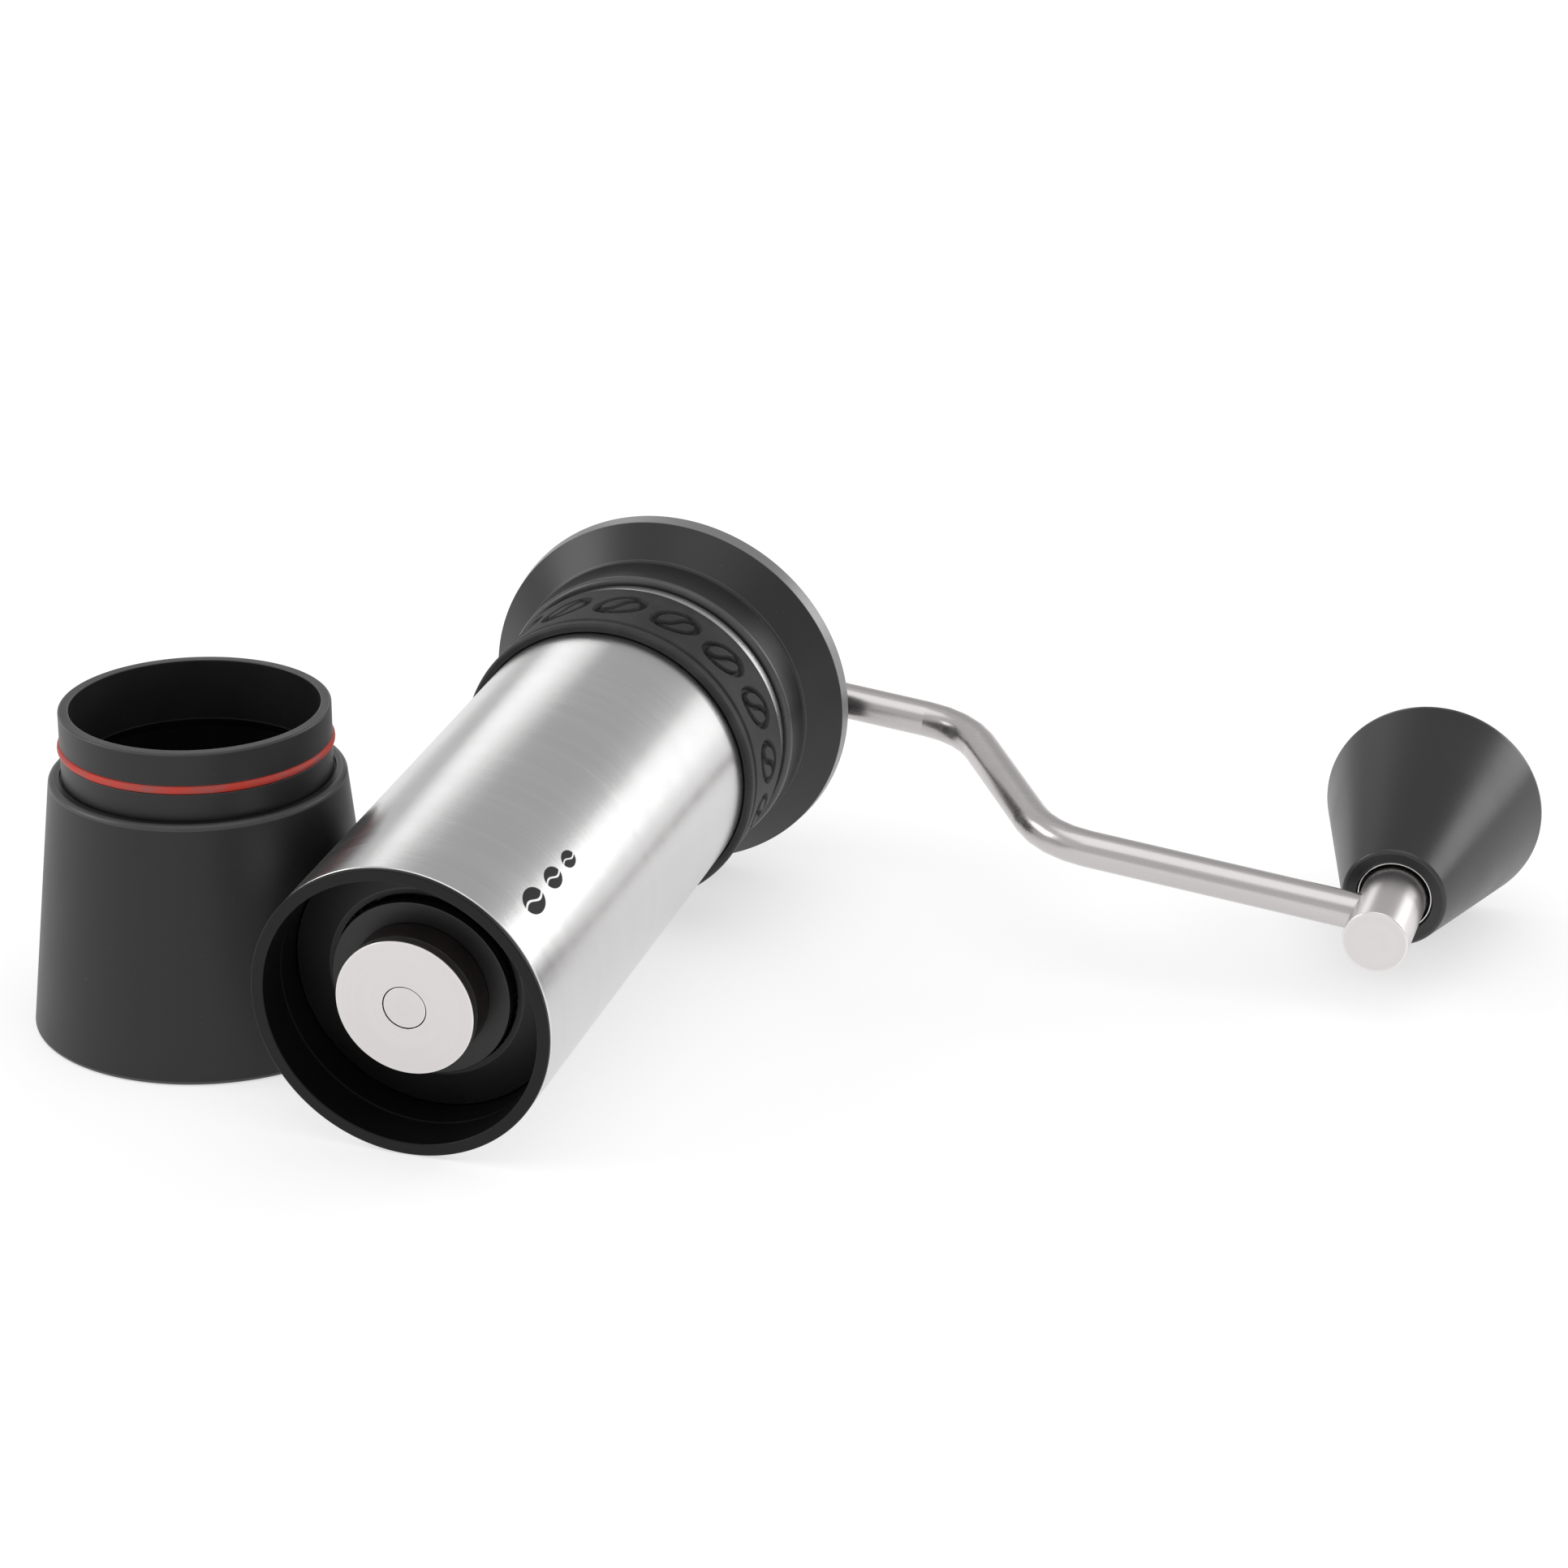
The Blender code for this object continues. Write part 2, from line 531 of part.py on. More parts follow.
def build_knob(axis):
    """Cone-shaped knob, its two bushes and the cap that closes its wide end."""
    edge = 1.0 * MM
    slope = (KNOB_BIG_R - KNOB_SMALL_R) / (KNOB_WIDE_AT - KNOB[0])
    cap_seat = 174.4 * MM
    ring("knob_shell",
         [(15.2 * MM, KNOB[1]), (KNOB_BIG_R - 2.6 * MM, KNOB[1]), (KNOB_BIG_R - 0.8 * MM, KNOB_WIDE_AT + 1.5 * MM),
          (KNOB_BIG_R, KNOB_WIDE_AT), (KNOB_BIG_R - slope * 1.2 * MM, KNOB_WIDE_AT - 1.2 * MM),
          (KNOB_SMALL_R + slope * edge, KNOB[0] + edge), (KNOB_SMALL_R - 0.6 * MM, KNOB[0]),
          (RECESS_R, KNOB[0]), (RECESS_R, RECESS_FLOOR), (BUSH_R + FIT, RECESS_FLOOR),
          (BUSH_R + FIT, 168.0 * MM), (9.0 * MM, 168.0 * MM), (9.0 * MM, cap_seat), (15.2 * MM, cap_seat)],
         axis, black("knob_black", 0.6), FINE)
    for name, low in (("knob_bush_lower", RECESS_FLOOR + FIT), ("knob_bush_upper", 160.2 * MM)):
        washer(name, PIN_R + RUN, BUSH_R, low, low + 7.6 * MM, axis,
               material(name + "_polymer", (0.75, 0.73, 0.66), 0.5, 0.0), SMALL)
    solid("knob_cap",
          [(0, KNOB[1] + 0.5 * MM), (9.0 * MM, KNOB[1] + 0.35 * MM), (15.0 * MM, KNOB[1] - 0.1 * MM),
           (15.0 * MM, cap_seat + FIT), (0, cap_seat + FIT)],
          axis, black("knob_cap_black", 0.5), ROUND)


clear_scene()
PARTS = collection("hand_crank_coffee_grinder")
CUTTERS = collection("cutters")

table = empty("table_frame", location=(CENTRE_X, CENTRE_Y, 0))
grinder_axis = empty("grinder_axis", table, (0, 0, AXIS_Z), (0, math.pi / 2 - TILT, 0))
cup_axis = empty("cup_axis", table, (CUP_ALONG, CUP_FROM_AXIS, 0))
crank_axis = empty("crank_axis", grinder_axis, (0, 0, 0), (0, 0, CRANK_ANGLE))
boss_axis = empty("boss_axis", crank_axis, (KNOB_AXIS_R, 0, 0))
knob_axis = empty("knob_axis", boss_axis, (0, 0, 0), (0, 0, -CRANK_ANGLE))

build_housing(grinder_axis)
build_detent(grinder_axis)
build_lid(grinder_axis)
build_dial(grinder_axis)
build_carriage(grinder_axis)
build_spindle(crank_axis)
build_crank(crank_axis, boss_axis)
build_knob(knob_axis)
build_cup(cup_axis)
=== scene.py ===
"""Looks of a hand crank coffee grinder lying on its side, with its catch cup beside it.

Sizes are in millimetres on each piece's own axis: a turned piece is an outline of
(radius, station) corners taken round that axis. Station 0 is the grinder's open bottom
end, or the table under the cup. Axis.place turns them into metres in the frame.
"""

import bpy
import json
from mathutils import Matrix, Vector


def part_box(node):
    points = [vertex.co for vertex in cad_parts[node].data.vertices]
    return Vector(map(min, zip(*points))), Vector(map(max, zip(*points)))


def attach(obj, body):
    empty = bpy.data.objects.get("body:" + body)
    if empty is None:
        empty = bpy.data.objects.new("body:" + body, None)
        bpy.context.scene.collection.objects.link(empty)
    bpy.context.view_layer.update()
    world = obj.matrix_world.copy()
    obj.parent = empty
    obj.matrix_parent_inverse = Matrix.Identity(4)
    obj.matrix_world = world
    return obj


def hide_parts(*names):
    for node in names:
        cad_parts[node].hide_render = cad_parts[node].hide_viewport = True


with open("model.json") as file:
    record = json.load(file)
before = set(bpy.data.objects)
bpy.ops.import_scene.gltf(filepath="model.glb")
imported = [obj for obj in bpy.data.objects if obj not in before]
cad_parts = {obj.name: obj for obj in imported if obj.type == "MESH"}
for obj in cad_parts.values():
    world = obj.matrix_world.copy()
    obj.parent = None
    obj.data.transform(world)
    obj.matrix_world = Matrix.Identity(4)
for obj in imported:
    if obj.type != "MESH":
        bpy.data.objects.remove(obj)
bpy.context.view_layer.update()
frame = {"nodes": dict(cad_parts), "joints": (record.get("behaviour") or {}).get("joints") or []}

import json
import logging
import math
from dataclasses import dataclass
from enum import Enum
from typing import Callable, NamedTuple, Union

import bpy
import numpy as np
from mathutils import Matrix, Vector

LOG = logging.getLogger("grinder")
MM = 0.001
Number = Union["Value", float]
Shape = Callable[[np.ndarray, np.ndarray, np.ndarray], np.ndarray]


class Body(Enum):
    """CAD bodies that the pieces ride on."""

    HOUSING = "housing"
    LID = "lid"
    CARRIAGE = "carriage"
    DIAL = "dial"
    CRANK = "crank"
    KNOB = "knob"
    CUP = "cup"


class Sides(Enum):
    """How many columns a turned surface has round its axis."""

    LARGE = 240
    MIDDLE = 144
    SMALL = 96


# ---------------------------------------------------------------- shapes


@dataclass(frozen=True)
class Axis:
    """Where a turned piece stands: its point at station 0 in metres, and its directions."""

    origin: np.ndarray
    along: np.ndarray
    down: np.ndarray

    @property
    def side(self) -> np.ndarray:
        """Direction square to the other two, a quarter turn on from down."""
        return np.cross(self.along, self.down)

    def place(self, radius: np.ndarray, angle: np.ndarray, station: np.ndarray) -> np.ndarray:
        """World points: the origin, plus station along, plus radius turned by angle from down.

        Args:
            radius: millimetres from the axis.
            angle: radians from down towards side.
            station: millimetres along the axis.

        Returns:
            Points in metres, with x, y, z in the last dimension.
        """
        radius, angle, station = np.broadcast_arrays(radius, angle, station)
        spoke = np.cos(angle)[..., None] * self.down + np.sin(angle)[..., None] * self.side
        return self.origin + MM * (station[..., None] * self.along + radius[..., None] * spoke)

    def turned(self, towards: np.ndarray) -> "Axis":
        """The same axis with its angles counted from another direction.

        Args:
            towards: a direction, of which the part square to the axis is used.

        Returns:
            The turned axis.
        """
        square = towards - self.along * (towards @ self.along)
        return Axis(self.origin, self.along, square / np.linalg.norm(square))

    def euler(self) -> tuple[float, float, float]:
        """Rotation that takes the world's axes to down, side and along."""
        return tuple(Matrix([self.down, self.side, self.along]).transposed().to_euler())


class At(NamedTuple):
    """A corner of an outline: its place, its round, and how finely the next straight is cut."""

    radius: float
    station: float
    round: float = 0.0
    step: float = 0.0


@dataclass(frozen=True)
class Outline:
    """Corners joined by straights, each corner rounded by an arc that touches both straights."""

    corners: list[At]
    closed: bool = True

    ARC_STEP = math.radians(15)
    GUARD = 0.12

    def _arc(self, before: np.ndarray, corner: np.ndarray, after: np.ndarray, radius: float) -> np.ndarray:
        """Points on the arc at a corner: centre + radius (cos, sin) from one tangent point to the other.

        Args:
            before: the corner before.
            corner: the corner to round.
            after: the corner after it.
            radius: radius of the arc.

        Returns:
            Points (n, 2), or the corner itself where there is nothing to round.
        """
        back, on = before - corner, after - corner
        room = 0.49 * min(np.linalg.norm(back), np.linalg.norm(on))
        back, on = back / np.linalg.norm(back), on / np.linalg.norm(on)
        half = math.acos(np.clip(back @ on, -1, 1)) / 2
        if radius <= 0 or half > math.radians(89):
            return corner[None]
        setback = min(radius / math.tan(half), room)
        radius = setback * math.tan(half)
        centre = corner + (back + on) / np.linalg.norm(back + on) * radius / math.sin(half)
        start, end = corner + back * setback - centre, corner + on * setback - centre
        first = math.atan2(start[1], start[0])
        sweep = (math.atan2(end[1], end[0]) - first + math.pi) % math.tau - math.pi
        angle = first + sweep * np.linspace(0, 1, max(3, math.ceil(abs(sweep) / self.ARC_STEP) + 1))
        return centre + radius * np.stack([np.cos(angle), np.sin(angle)], -1)

    def points(self) -> tuple[np.ndarray, np.ndarray]:
        """Rounds every corner, guards each arc with a point close beside it, and cuts the straights.

        Returns:
            Points (n, 2) and each one's wear: 1 on a convex round, -1 in a concave one, 0 on a flat.
        """
        place = np.array([corner[:2] for corner in self.corners])
        after, before = np.roll(place, -1, 0), np.roll(place, 1, 0)
        area = np.sum(place[:, 0] * after[:, 1] - after[:, 0] * place[:, 1])
        points, wear, arcs = [], [], []
        for k, corner in enumerate(self.corners):
            free = not self.closed and k in (0, len(place) - 1)
            arcs.append(place[k][None] if free else self._arc(before[k], place[k], after[k], corner.round))
        for k, corner in enumerate(self.corners):
            ahead, back = after[k] - place[k], place[k] - before[k]
            bend = math.copysign(1.0, (back[0] * ahead[1] - back[1] * ahead[0]) * area)
            points.append(arcs[k])
            wear.append(np.full(len(arcs[k]), bend if len(arcs[k]) > 1 else 0.0))
            if not self.closed and k == len(place) - 1:
                break
            start, end = arcs[k][-1], arcs[(k + 1) % len(arcs)][0]
            length = np.linalg.norm(end - start)
            if length > 4 * self.GUARD:
                count = max(1, math.ceil((length - 2 * self.GUARD) / corner.step)) if corner.step else 1
                part = np.linspace(self.GUARD / length, 1 - self.GUARD / length, count + 1)
                points.append(start + (end - start) * part[:, None])
                wear.append(np.zeros(count + 1))
        return np.concatenate(points), np.concatenate(wear)


@dataclass(frozen=True)
class Surface:
    """Points, four-cornered faces (a pole's faces repeat a corner) and each point's wear."""

    points: np.ndarray
    quads: np.ndarray
    wear: np.ndarray

    @staticmethod
    def grid(points: np.ndarray, wear: np.ndarray, poles: np.ndarray, closed: bool) -> "Surface":
        """Joins a grid whose columns run round; rows flagged as poles shrink to one point.

        A face has the corners (row, column), (row, column + 1), (row + 1, column + 1) and
        (row + 1, column). The faces are turned over if the volume they enclose, a sixth of the
        sum of a . (b x c) over the triangles, is negative.

        Args:
            points: world points (rows, columns, 3).
            wear: wear of each row.
            poles: true for each row that is a single point.
            closed: whether the last row joins the first.

        Returns:
            The surface, with its faces outwards.
        """
        rows, columns = points.shape[:2]
        index = np.arange(rows * columns).reshape(rows, columns)
        index[poles] = index[poles][:, :1]
        used, index = np.unique(index, return_inverse=True)
        index = index.reshape(rows, columns)
        near, far = (index, np.roll(index, -1, 0)) if closed else (index[:-1], index[1:])
        quads = np.stack([near, np.roll(near, -1, 1), np.roll(far, -1, 1), far], -1).reshape(-1, 4)
        points = points.reshape(-1, 3)[used]
        a, b, c, d = (points[quads[:, k]] for k in range(4))
        volume = np.sum(a * (np.cross(b, c) + np.cross(c, d)))
        return Surface(points, quads if volume > 0 else quads[:, ::-1], np.repeat(wear, columns)[used])

    def joined(self, other: "Surface") -> "Surface":
        """Both surfaces as one.

        Args:
            other: the surface to add.

        Returns:
            The joined surface.
        """
        return Surface(np.concatenate([self.points, other.points]),
                       np.concatenate([self.quads, other.quads + len(self.points)]),
                       np.concatenate([self.wear, other.wear]))

    def faces(self) -> list[list[int]]:
        """Faces as lists of point numbers, with a pole's faces as triangles."""
        twin = self.quads == np.roll(self.quads, -1, 1)
        pole = twin.any(1)
        short = self.quads[pole][~twin[pole]].reshape(-1, 3)
        return self.quads[~pole].tolist() + short.tolist()


def turn(axis: Axis, outline: Outline, sides: Sides, shape: Shape | None = None) -> Surface:
    """Takes an outline round its axis: point = axis.place(radius, angle, station).

    Args:
        axis: the axis to turn about.
        outline: the outline, in millimetres.
        sides: number of columns.
        shape: changes the radius, from arrays of radius, angle and station.

    Returns:
        The turned surface.
    """
    line, wear = outline.points()
    angle = np.linspace(0, math.tau, sides.value, endpoint=False)[None]
    radius, station = line[:, :1] + 0 * angle, line[:, 1:] + 0 * angle
    if shape:
        radius = shape(radius, angle + 0 * radius, station)
    return Surface.grid(axis.place(radius, angle, station), wear, line[:, 0] < 1e-6, outline.closed)


def sweep(axis: Axis, outline: Outline, radius: float, sides: int) -> Surface:
    """Carries a circle along a path in the axis's flat plane of down and along.

    Point = path + radius (cos . across + sin . side), where across = tangent x side.

    Args:
        axis: its down is the path's x, and its along the path's y.
        outline: the open path, in millimetres.
        radius: the circle's radius.
        sides: points round the circle.

    Returns:
        The swept surface, with both ends closed.
    """
    line, _ = outline.points()
    tangent = np.gradient(line, axis=0)
    tangent /= np.linalg.norm(tangent, axis=1, keepdims=True)
    order = np.concatenate([[0], np.arange(len(line)), [len(line) - 1]])
    size = np.full(len(order), radius)
    size[[0, -1]] = 0.0
    path = axis.origin + MM * (line[:, :1] * axis.down + line[:, 1:] * axis.along)
    across = tangent[:, 1:] * axis.down - tangent[:, :1] * axis.along
    angle = np.linspace(0, math.tau, sides, endpoint=False)[None, :, None]
    ring = np.cos(angle) * across[order][:, None] + np.sin(angle) * axis.side
    points = path[order][:, None] + MM * size[:, None, None] * ring
    return Surface.grid(points, np.zeros(len(order)), size == 0, False)


# ---------------------------------------------------------------- shader maths


class Value:
    """A number that varies over a surface: a socket with arithmetic."""

    def __init__(self, graph: "Graph", socket: bpy.types.NodeSocket) -> None:
        """Wraps a socket of a graph."""
        self.graph, self.socket = graph, socket

    def math(self, operation: str, *values: Number) -> "Value":
        """Adds a Math node.

        Args:
            operation: the node's operation.
            values: its inputs, in order.

        Returns:
            The node's result.
        """
        node = self.graph.node("ShaderNodeMath", {"operation": operation}, dict(enumerate(values)))
        return Value(self.graph, node.outputs[0])

    def __add__(self, other: Number) -> "Value":
        """self + other."""
        return self.math("ADD", self, other)

    def __sub__(self, other: Number) -> "Value":
        """self - other."""
        return self.math("SUBTRACT", self, other)

    def __rsub__(self, other: Number) -> "Value":
        """other - self."""
        return self.math("SUBTRACT", other, self)

    def __mul__(self, other: Number) -> "Value":
        """self * other."""
        return self.math("MULTIPLY", self, other)

    def __truediv__(self, other: Number) -> "Value":
        """self / other."""
        return self.math("DIVIDE", self, other)

    def __pow__(self, other: Number) -> "Value":
        """self to the power of other."""
        return self.math("POWER", self, other)

    def __abs__(self) -> "Value":
        """Size of self without its sign."""
        return self.math("ABSOLUTE", self)

    __radd__, __rmul__ = __add__, __mul__

    def sin(self) -> "Value":
        """Sine of self in radians."""
        return self.math("SINE", self)

    def angle_from(self, x: "Value") -> "Value":
        """Angle of the point (x, self)."""
        return self.math("ARCTAN2", self, x)

    def folded(self, period: float) -> "Value":
        """self brought between minus and plus half a period, over and over."""
        return self.math("WRAP", self, period / 2, -period / 2)

    def step(self, low: float, high: float) -> "Value":
        """Rises smoothly from 0 at low to 1 at high, or falls where low is above high.

        Args:
            low: where it leaves 0.
            high: where it reaches 1.

        Returns:
            A number from 0 to 1.
        """
        rising = low < high
        node = self.graph.node("ShaderNodeMapRange", {"interpolation_type": "SMOOTHSTEP"},
                               {0: self, 1: min(low, high), 2: max(low, high),
                                3: 0.0 if rising else 1.0, 4: 1.0 if rising else 0.0})
        return Value(self.graph, node.outputs[0])


class Place(NamedTuple):
    """Where a point lies on a piece's own axis, in millimetres; point holds the first three."""

    point: bpy.types.NodeSocket
    down: Value
    side: Value
    station: Value
    radius: Value

    def drawn(self, slow: float, quick: float) -> bpy.types.NodeSocket:
        """Place in a noise drawn out round the axis: slow in down and side, quick in station + radius."""
        graph = self.down.graph
        return graph.vector(self.down * slow, self.side * slow, (self.station + self.radius) * quick)


class Graph:
    """A material and its nodes."""

    def __init__(self, name: str) -> None:
        """Starts an empty node material."""
        self.material = bpy.data.materials.new(name)
        self.material.use_nodes = True
        self.tree = self.material.node_tree
        self.tree.nodes.clear()

    def node(self, kind: str, settings: dict | None = None, inputs: dict | None = None) -> bpy.types.Node:
        """Adds a node.

        Args:
            kind: the node's type.
            settings: its properties, set first.
            inputs: values, Values or sockets for its inputs, by name or number.

        Returns:
            The new node.
        """
        node = self.tree.nodes.new(kind)
        for name, value in (settings or {}).items():
            setattr(node, name, value)
        for name, value in (inputs or {}).items():
            value = value.socket if isinstance(value, Value) else value
            if isinstance(value, bpy.types.NodeSocket):
                self.tree.links.new(value, node.inputs[name])
            else:
                node.inputs[name].default_value = value
        return node

    def local(self, axis: Axis) -> Place:
        """Measures from a piece's own axis.

        Args:
            axis: the piece's axis.

        Returns:
            The place of the point being shaded.
        """
        point = self.node("ShaderNodeTexCoord").outputs["Object"]
        turned = self.node("ShaderNodeMapping", {"vector_type": "TEXTURE"},
                           {"Vector": point, "Location": tuple(axis.origin), "Rotation": axis.euler(),
                            "Scale": (MM, MM, MM)})
        parts = self.node("ShaderNodeSeparateXYZ", inputs={0: turned.outputs[0]})
        down, side, station = (Value(self, parts.outputs[k]) for k in range(3))
        return Place(turned.outputs[0], down, side, station, (down * down + side * side) ** 0.5)

    def vector(self, x: Number, y: Number, z: Number) -> bpy.types.NodeSocket:
        """A vector from three numbers."""
        return self.node("ShaderNodeCombineXYZ", inputs={0: x, 1: y, 2: z}).outputs[0]

    def noise(self, vector: bpy.types.NodeSocket, scale: float, detail: float = 2.0) -> Value:
        """Cloudy noise between 0 and 1.

        Args:
            vector: where it is read.
            scale: bumps for each unit.
            detail: how many finer layers it has.

        Returns:
            The noise.
        """
        node = self.node("ShaderNodeTexNoise", inputs={"Vector": vector, "Scale": scale, "Detail": detail})
        return Value(self, node.outputs[0])

    def wear(self) -> tuple[Value, Value]:
        """How near a point is to a convex edge and to a concave one, from 0 to 1. Some finishes lighten
        convex edges as wear with a painted highlight, and darken concave rounds with painted shade.
        """
        node = self.node("ShaderNodeAttribute", {"attribute_name": "wear"})
        wear = Value(self, node.outputs["Fac"])
        return wear.step(0.3, 1.0), wear.step(-0.3, -1.0)

    def blend(self, factor: Number, first: tuple | bpy.types.NodeSocket,
              second: tuple | bpy.types.NodeSocket) -> bpy.types.NodeSocket:
        """Colour that goes from first to second as factor goes from 0 to 1."""
        return self.node("ShaderNodeMix", {"data_type": "RGBA"},
                         {0: factor, 6: first, 7: second}).outputs[2]

    def relief(self, height: Number, depth: float) -> bpy.types.NodeSocket:
        """Normals of a height field.

        Args:
            height: the height, from 0 to 1.
            depth: millimetres that 1 stands for.

        Returns:
            The normal.
        """
        relief = {"Height": height, "Distance": depth * MM, "Strength": 1.0}
        return self.node("ShaderNodeBump", inputs=relief).outputs[0]

    def done(self, **sockets: Number | tuple | bpy.types.NodeSocket) -> bpy.types.Material:
        """Adds the surface shader.

        Args:
            sockets: its inputs, with _ for a space.

        Returns:
            The material.
        """
        named = {name.replace("_", " "): value for name, value in sockets.items()}
        shader = self.node("ShaderNodeBsdfPrincipled", inputs=named)
        self.node("ShaderNodeOutputMaterial", inputs={0: shader.outputs[0]})
        return self.material


class RoomGraph(Graph):
    """A world and its nodes."""

    def __init__(self, name: str) -> None:
        """Starts an empty node world."""
        self.world = bpy.data.worlds.new(name)
        self.world.use_nodes = True
        self.tree = self.world.node_tree
        self.tree.nodes.clear()


def grey(level: float, warm: float = 0.0) -> tuple[float, float, float, float]:
    """A grey, with its red raised by the share warm."""
    return level * (1 + warm), level, level, 1.0


# ---------------------------------------------------------------- finishes


@dataclass(frozen=True)
class Steel:
    """Steel with fine lines left by turning or brushing round the axis."""

    name: str
    level: float = 0.62
    warm: float = 0.01
    rough: float = 0.24
    lines: float = 5.0
    depth: float = 0.012
    metal: float = 1.0

    def marks(self, place: Place) -> Number:
        """Dark marks on the steel, from 0 to 1: none on plain steel."""
        return 0.0

    def drawn(self, place: Place, lines: float) -> bpy.types.NodeSocket:
        """Place in a noise drawn out round the axis."""
        return place.drawn(0.025, lines)

    def build(self, axis: Axis) -> bpy.types.Material:
        """Lines are noise drawn out round the axis: fine in station plus radius, slow round it.

        Args:
            axis: the axis of the piece.

        Returns:
            The material.
        """
        graph = Graph(self.name)
        place = graph.local(axis)
        fine = graph.noise(self.drawn(place, self.lines), 1.0, 3.0)
        broad = graph.noise(self.drawn(place, 0.35), 1.0, 2.0)
        smears = graph.noise(place.point, 0.06, 3.0)
        wear_and_sheen, grime_and_shade = graph.wear()
        marks = self.marks(place)
        shade = graph.blend(fine * 0.5 + broad * 0.5, grey(self.level * 0.9, self.warm),
                            grey(self.level * 1.08, self.warm))
        # Painted highlight with wear: convex rounds are lighter.
        shade = graph.blend(wear_and_sheen * 0.5, shade, grey(min(1.0, self.level * 1.3), self.warm))
        # Painted shade: concave rounds are darker.
        shade = graph.blend(grime_and_shade * 0.5, shade, grey(self.level * 0.45, self.warm))
        shade = graph.blend(marks, shade, grey(0.035))
        rough = fine * 0.12 + broad * 0.06 + smears * 0.08 + (self.rough - 0.13)
        return graph.done(Base_Color=shade, Metallic=self.metal, Roughness=rough + marks * 0.3,
                          Normal=graph.relief(fine, self.depth))


@dataclass(frozen=True)
class RodSteel(Steel):
    """Drawn rod: satin, with faint lines along it."""

    level: float = 0.56
    warm: float = 0.05
    rough: float = 0.26
    lines: float = 2.4
    depth: float = 0.004

    def drawn(self, place: Place, lines: float) -> bpy.types.NodeSocket:
        """Place in a noise drawn out along the rod: slow in down, quick in side and station."""
        return place.down.graph.vector(place.down * 0.03, place.side * lines, place.station * lines)


@dataclass(frozen=True)
class MarkedSteel(Steel):
    """Tube steel with a small dark row of coffee beans, each smaller than the last."""

    station: float = 14.6
    turn: float = -2.30
    radius: float = 30.0
    lengths: tuple[float, ...] = (7.6, 6.2, 5.0)
    slim: float = 0.68
    spacing: float = 1.3

    def marks(self, place: Place) -> Number:
        """Beans: ellipses in station and arc length, each parted by an S-shaped crease.

        Args:
            place: where the point lies.

        Returns:
            The mask.
        """
        arc = (place.side.angle_from(place.down) - self.turn).folded(math.tau) * self.radius
        outside = place.radius.step(self.radius - 0.3, self.radius - 0.1)
        mask: Number = 0.0
        at = self.station
        for length in self.lengths:
            mask = bean(place.station - at, arc, length, self.slim * length) + mask
            at += length * self.spacing
        return mask * outside


def bean(long: Value, wide: Value, length: float, width: float) -> Value:
    """Mask of a coffee bean: an ellipse less a crease along wide = a sine of long.

    Args:
        long: distance from the bean's middle along it.
        wide: distance across it.
        length: the bean's length.
        width: its width.

    Returns:
        1 on the bean and 0 off it.
    """
    u, v = long * (2 / length), wide * (2 / width)
    body = (u * u + v * v).step(1.06, 0.94)
    crease = abs(v - (u * math.pi).sin() * 0.22).step(0.05, 0.13)
    return body * crease


@dataclass(frozen=True)
class SatinBlack:
    """Black coated or moulded surface with a fine grain, lighter along its edges as wear with a painted
    highlight.
    """

    name: str
    level: float = 0.006
    rough: float = 0.42
    grain: float = 3.5
    depth: float = 0.012
    # edge: grey of convex rounds, as wear with a painted highlight; dust specks take a lighter share of it.
    edge: float = 0.03
    shine: float = 0.5
    sheen_grey: float = 0.24
    metal: float = 0.5

    def sheen_band(self, radius: Value) -> Number:
        """Share of the band with painted sheen, from 0 to 1: none on plain black."""
        return 0.0

    def build(self, axis: Axis) -> bpy.types.Material:
        """Grain is fine noise, over slow smears of wear and handling.

        Args:
            axis: the axis of the piece.

        Returns:
            The material.
        """
        graph = Graph(self.name)
        place = graph.local(axis)
        grain = graph.noise(place.point, self.grain, 2.0)
        smears = graph.noise(place.point, 0.07, 4.0)
        specks = graph.noise(place.point, 1.3, 2.0).step(0.72, 0.80)
        wear_and_sheen, grime_and_shade = graph.wear()
        shade = graph.blend(smears.step(0.3, 0.7), grey(self.level * 0.85, 0.02),
                            grey(self.level * 1.2, 0.02))
        # Painted highlight with wear: convex rounds go towards the edge grey, more where the smears are.
        shade = graph.blend(wear_and_sheen * (smears * 0.7 + 0.3), shade, grey(self.edge))
        shade = graph.blend(specks * 0.25, shade, grey(self.edge * 1.6, 0.04))
        sheen_band = self.sheen_band(place.radius)
        # Painted sheen: the band's colour is lighter, standing in for its reflection, and its metallic share
        # is raised.
        shade = graph.blend(sheen_band, shade, grey(self.sheen_grey))
        rough = grain * 0.08 + smears * 0.14 + (self.rough - 0.11) + grime_and_shade * 0.15 - wear_and_sheen * 0.06
        return graph.done(Base_Color=shade, Roughness=rough, Metallic=sheen_band * self.metal,
                          Specular_IOR_Level=self.shine, Normal=graph.relief(grain, self.depth))


@dataclass(frozen=True)
class BandedBlack(SatinBlack):
    """Satin black that is more metal-like round the widest band, with a lighter colour there as a painted
    sheen standing in for the band's reflection.
    """

    band_from: float = 39.3

    def sheen_band(self, radius: Value) -> Number:
        """1 outside the radius band_from."""
        return radius.step(self.band_from, self.band_from + 0.12)


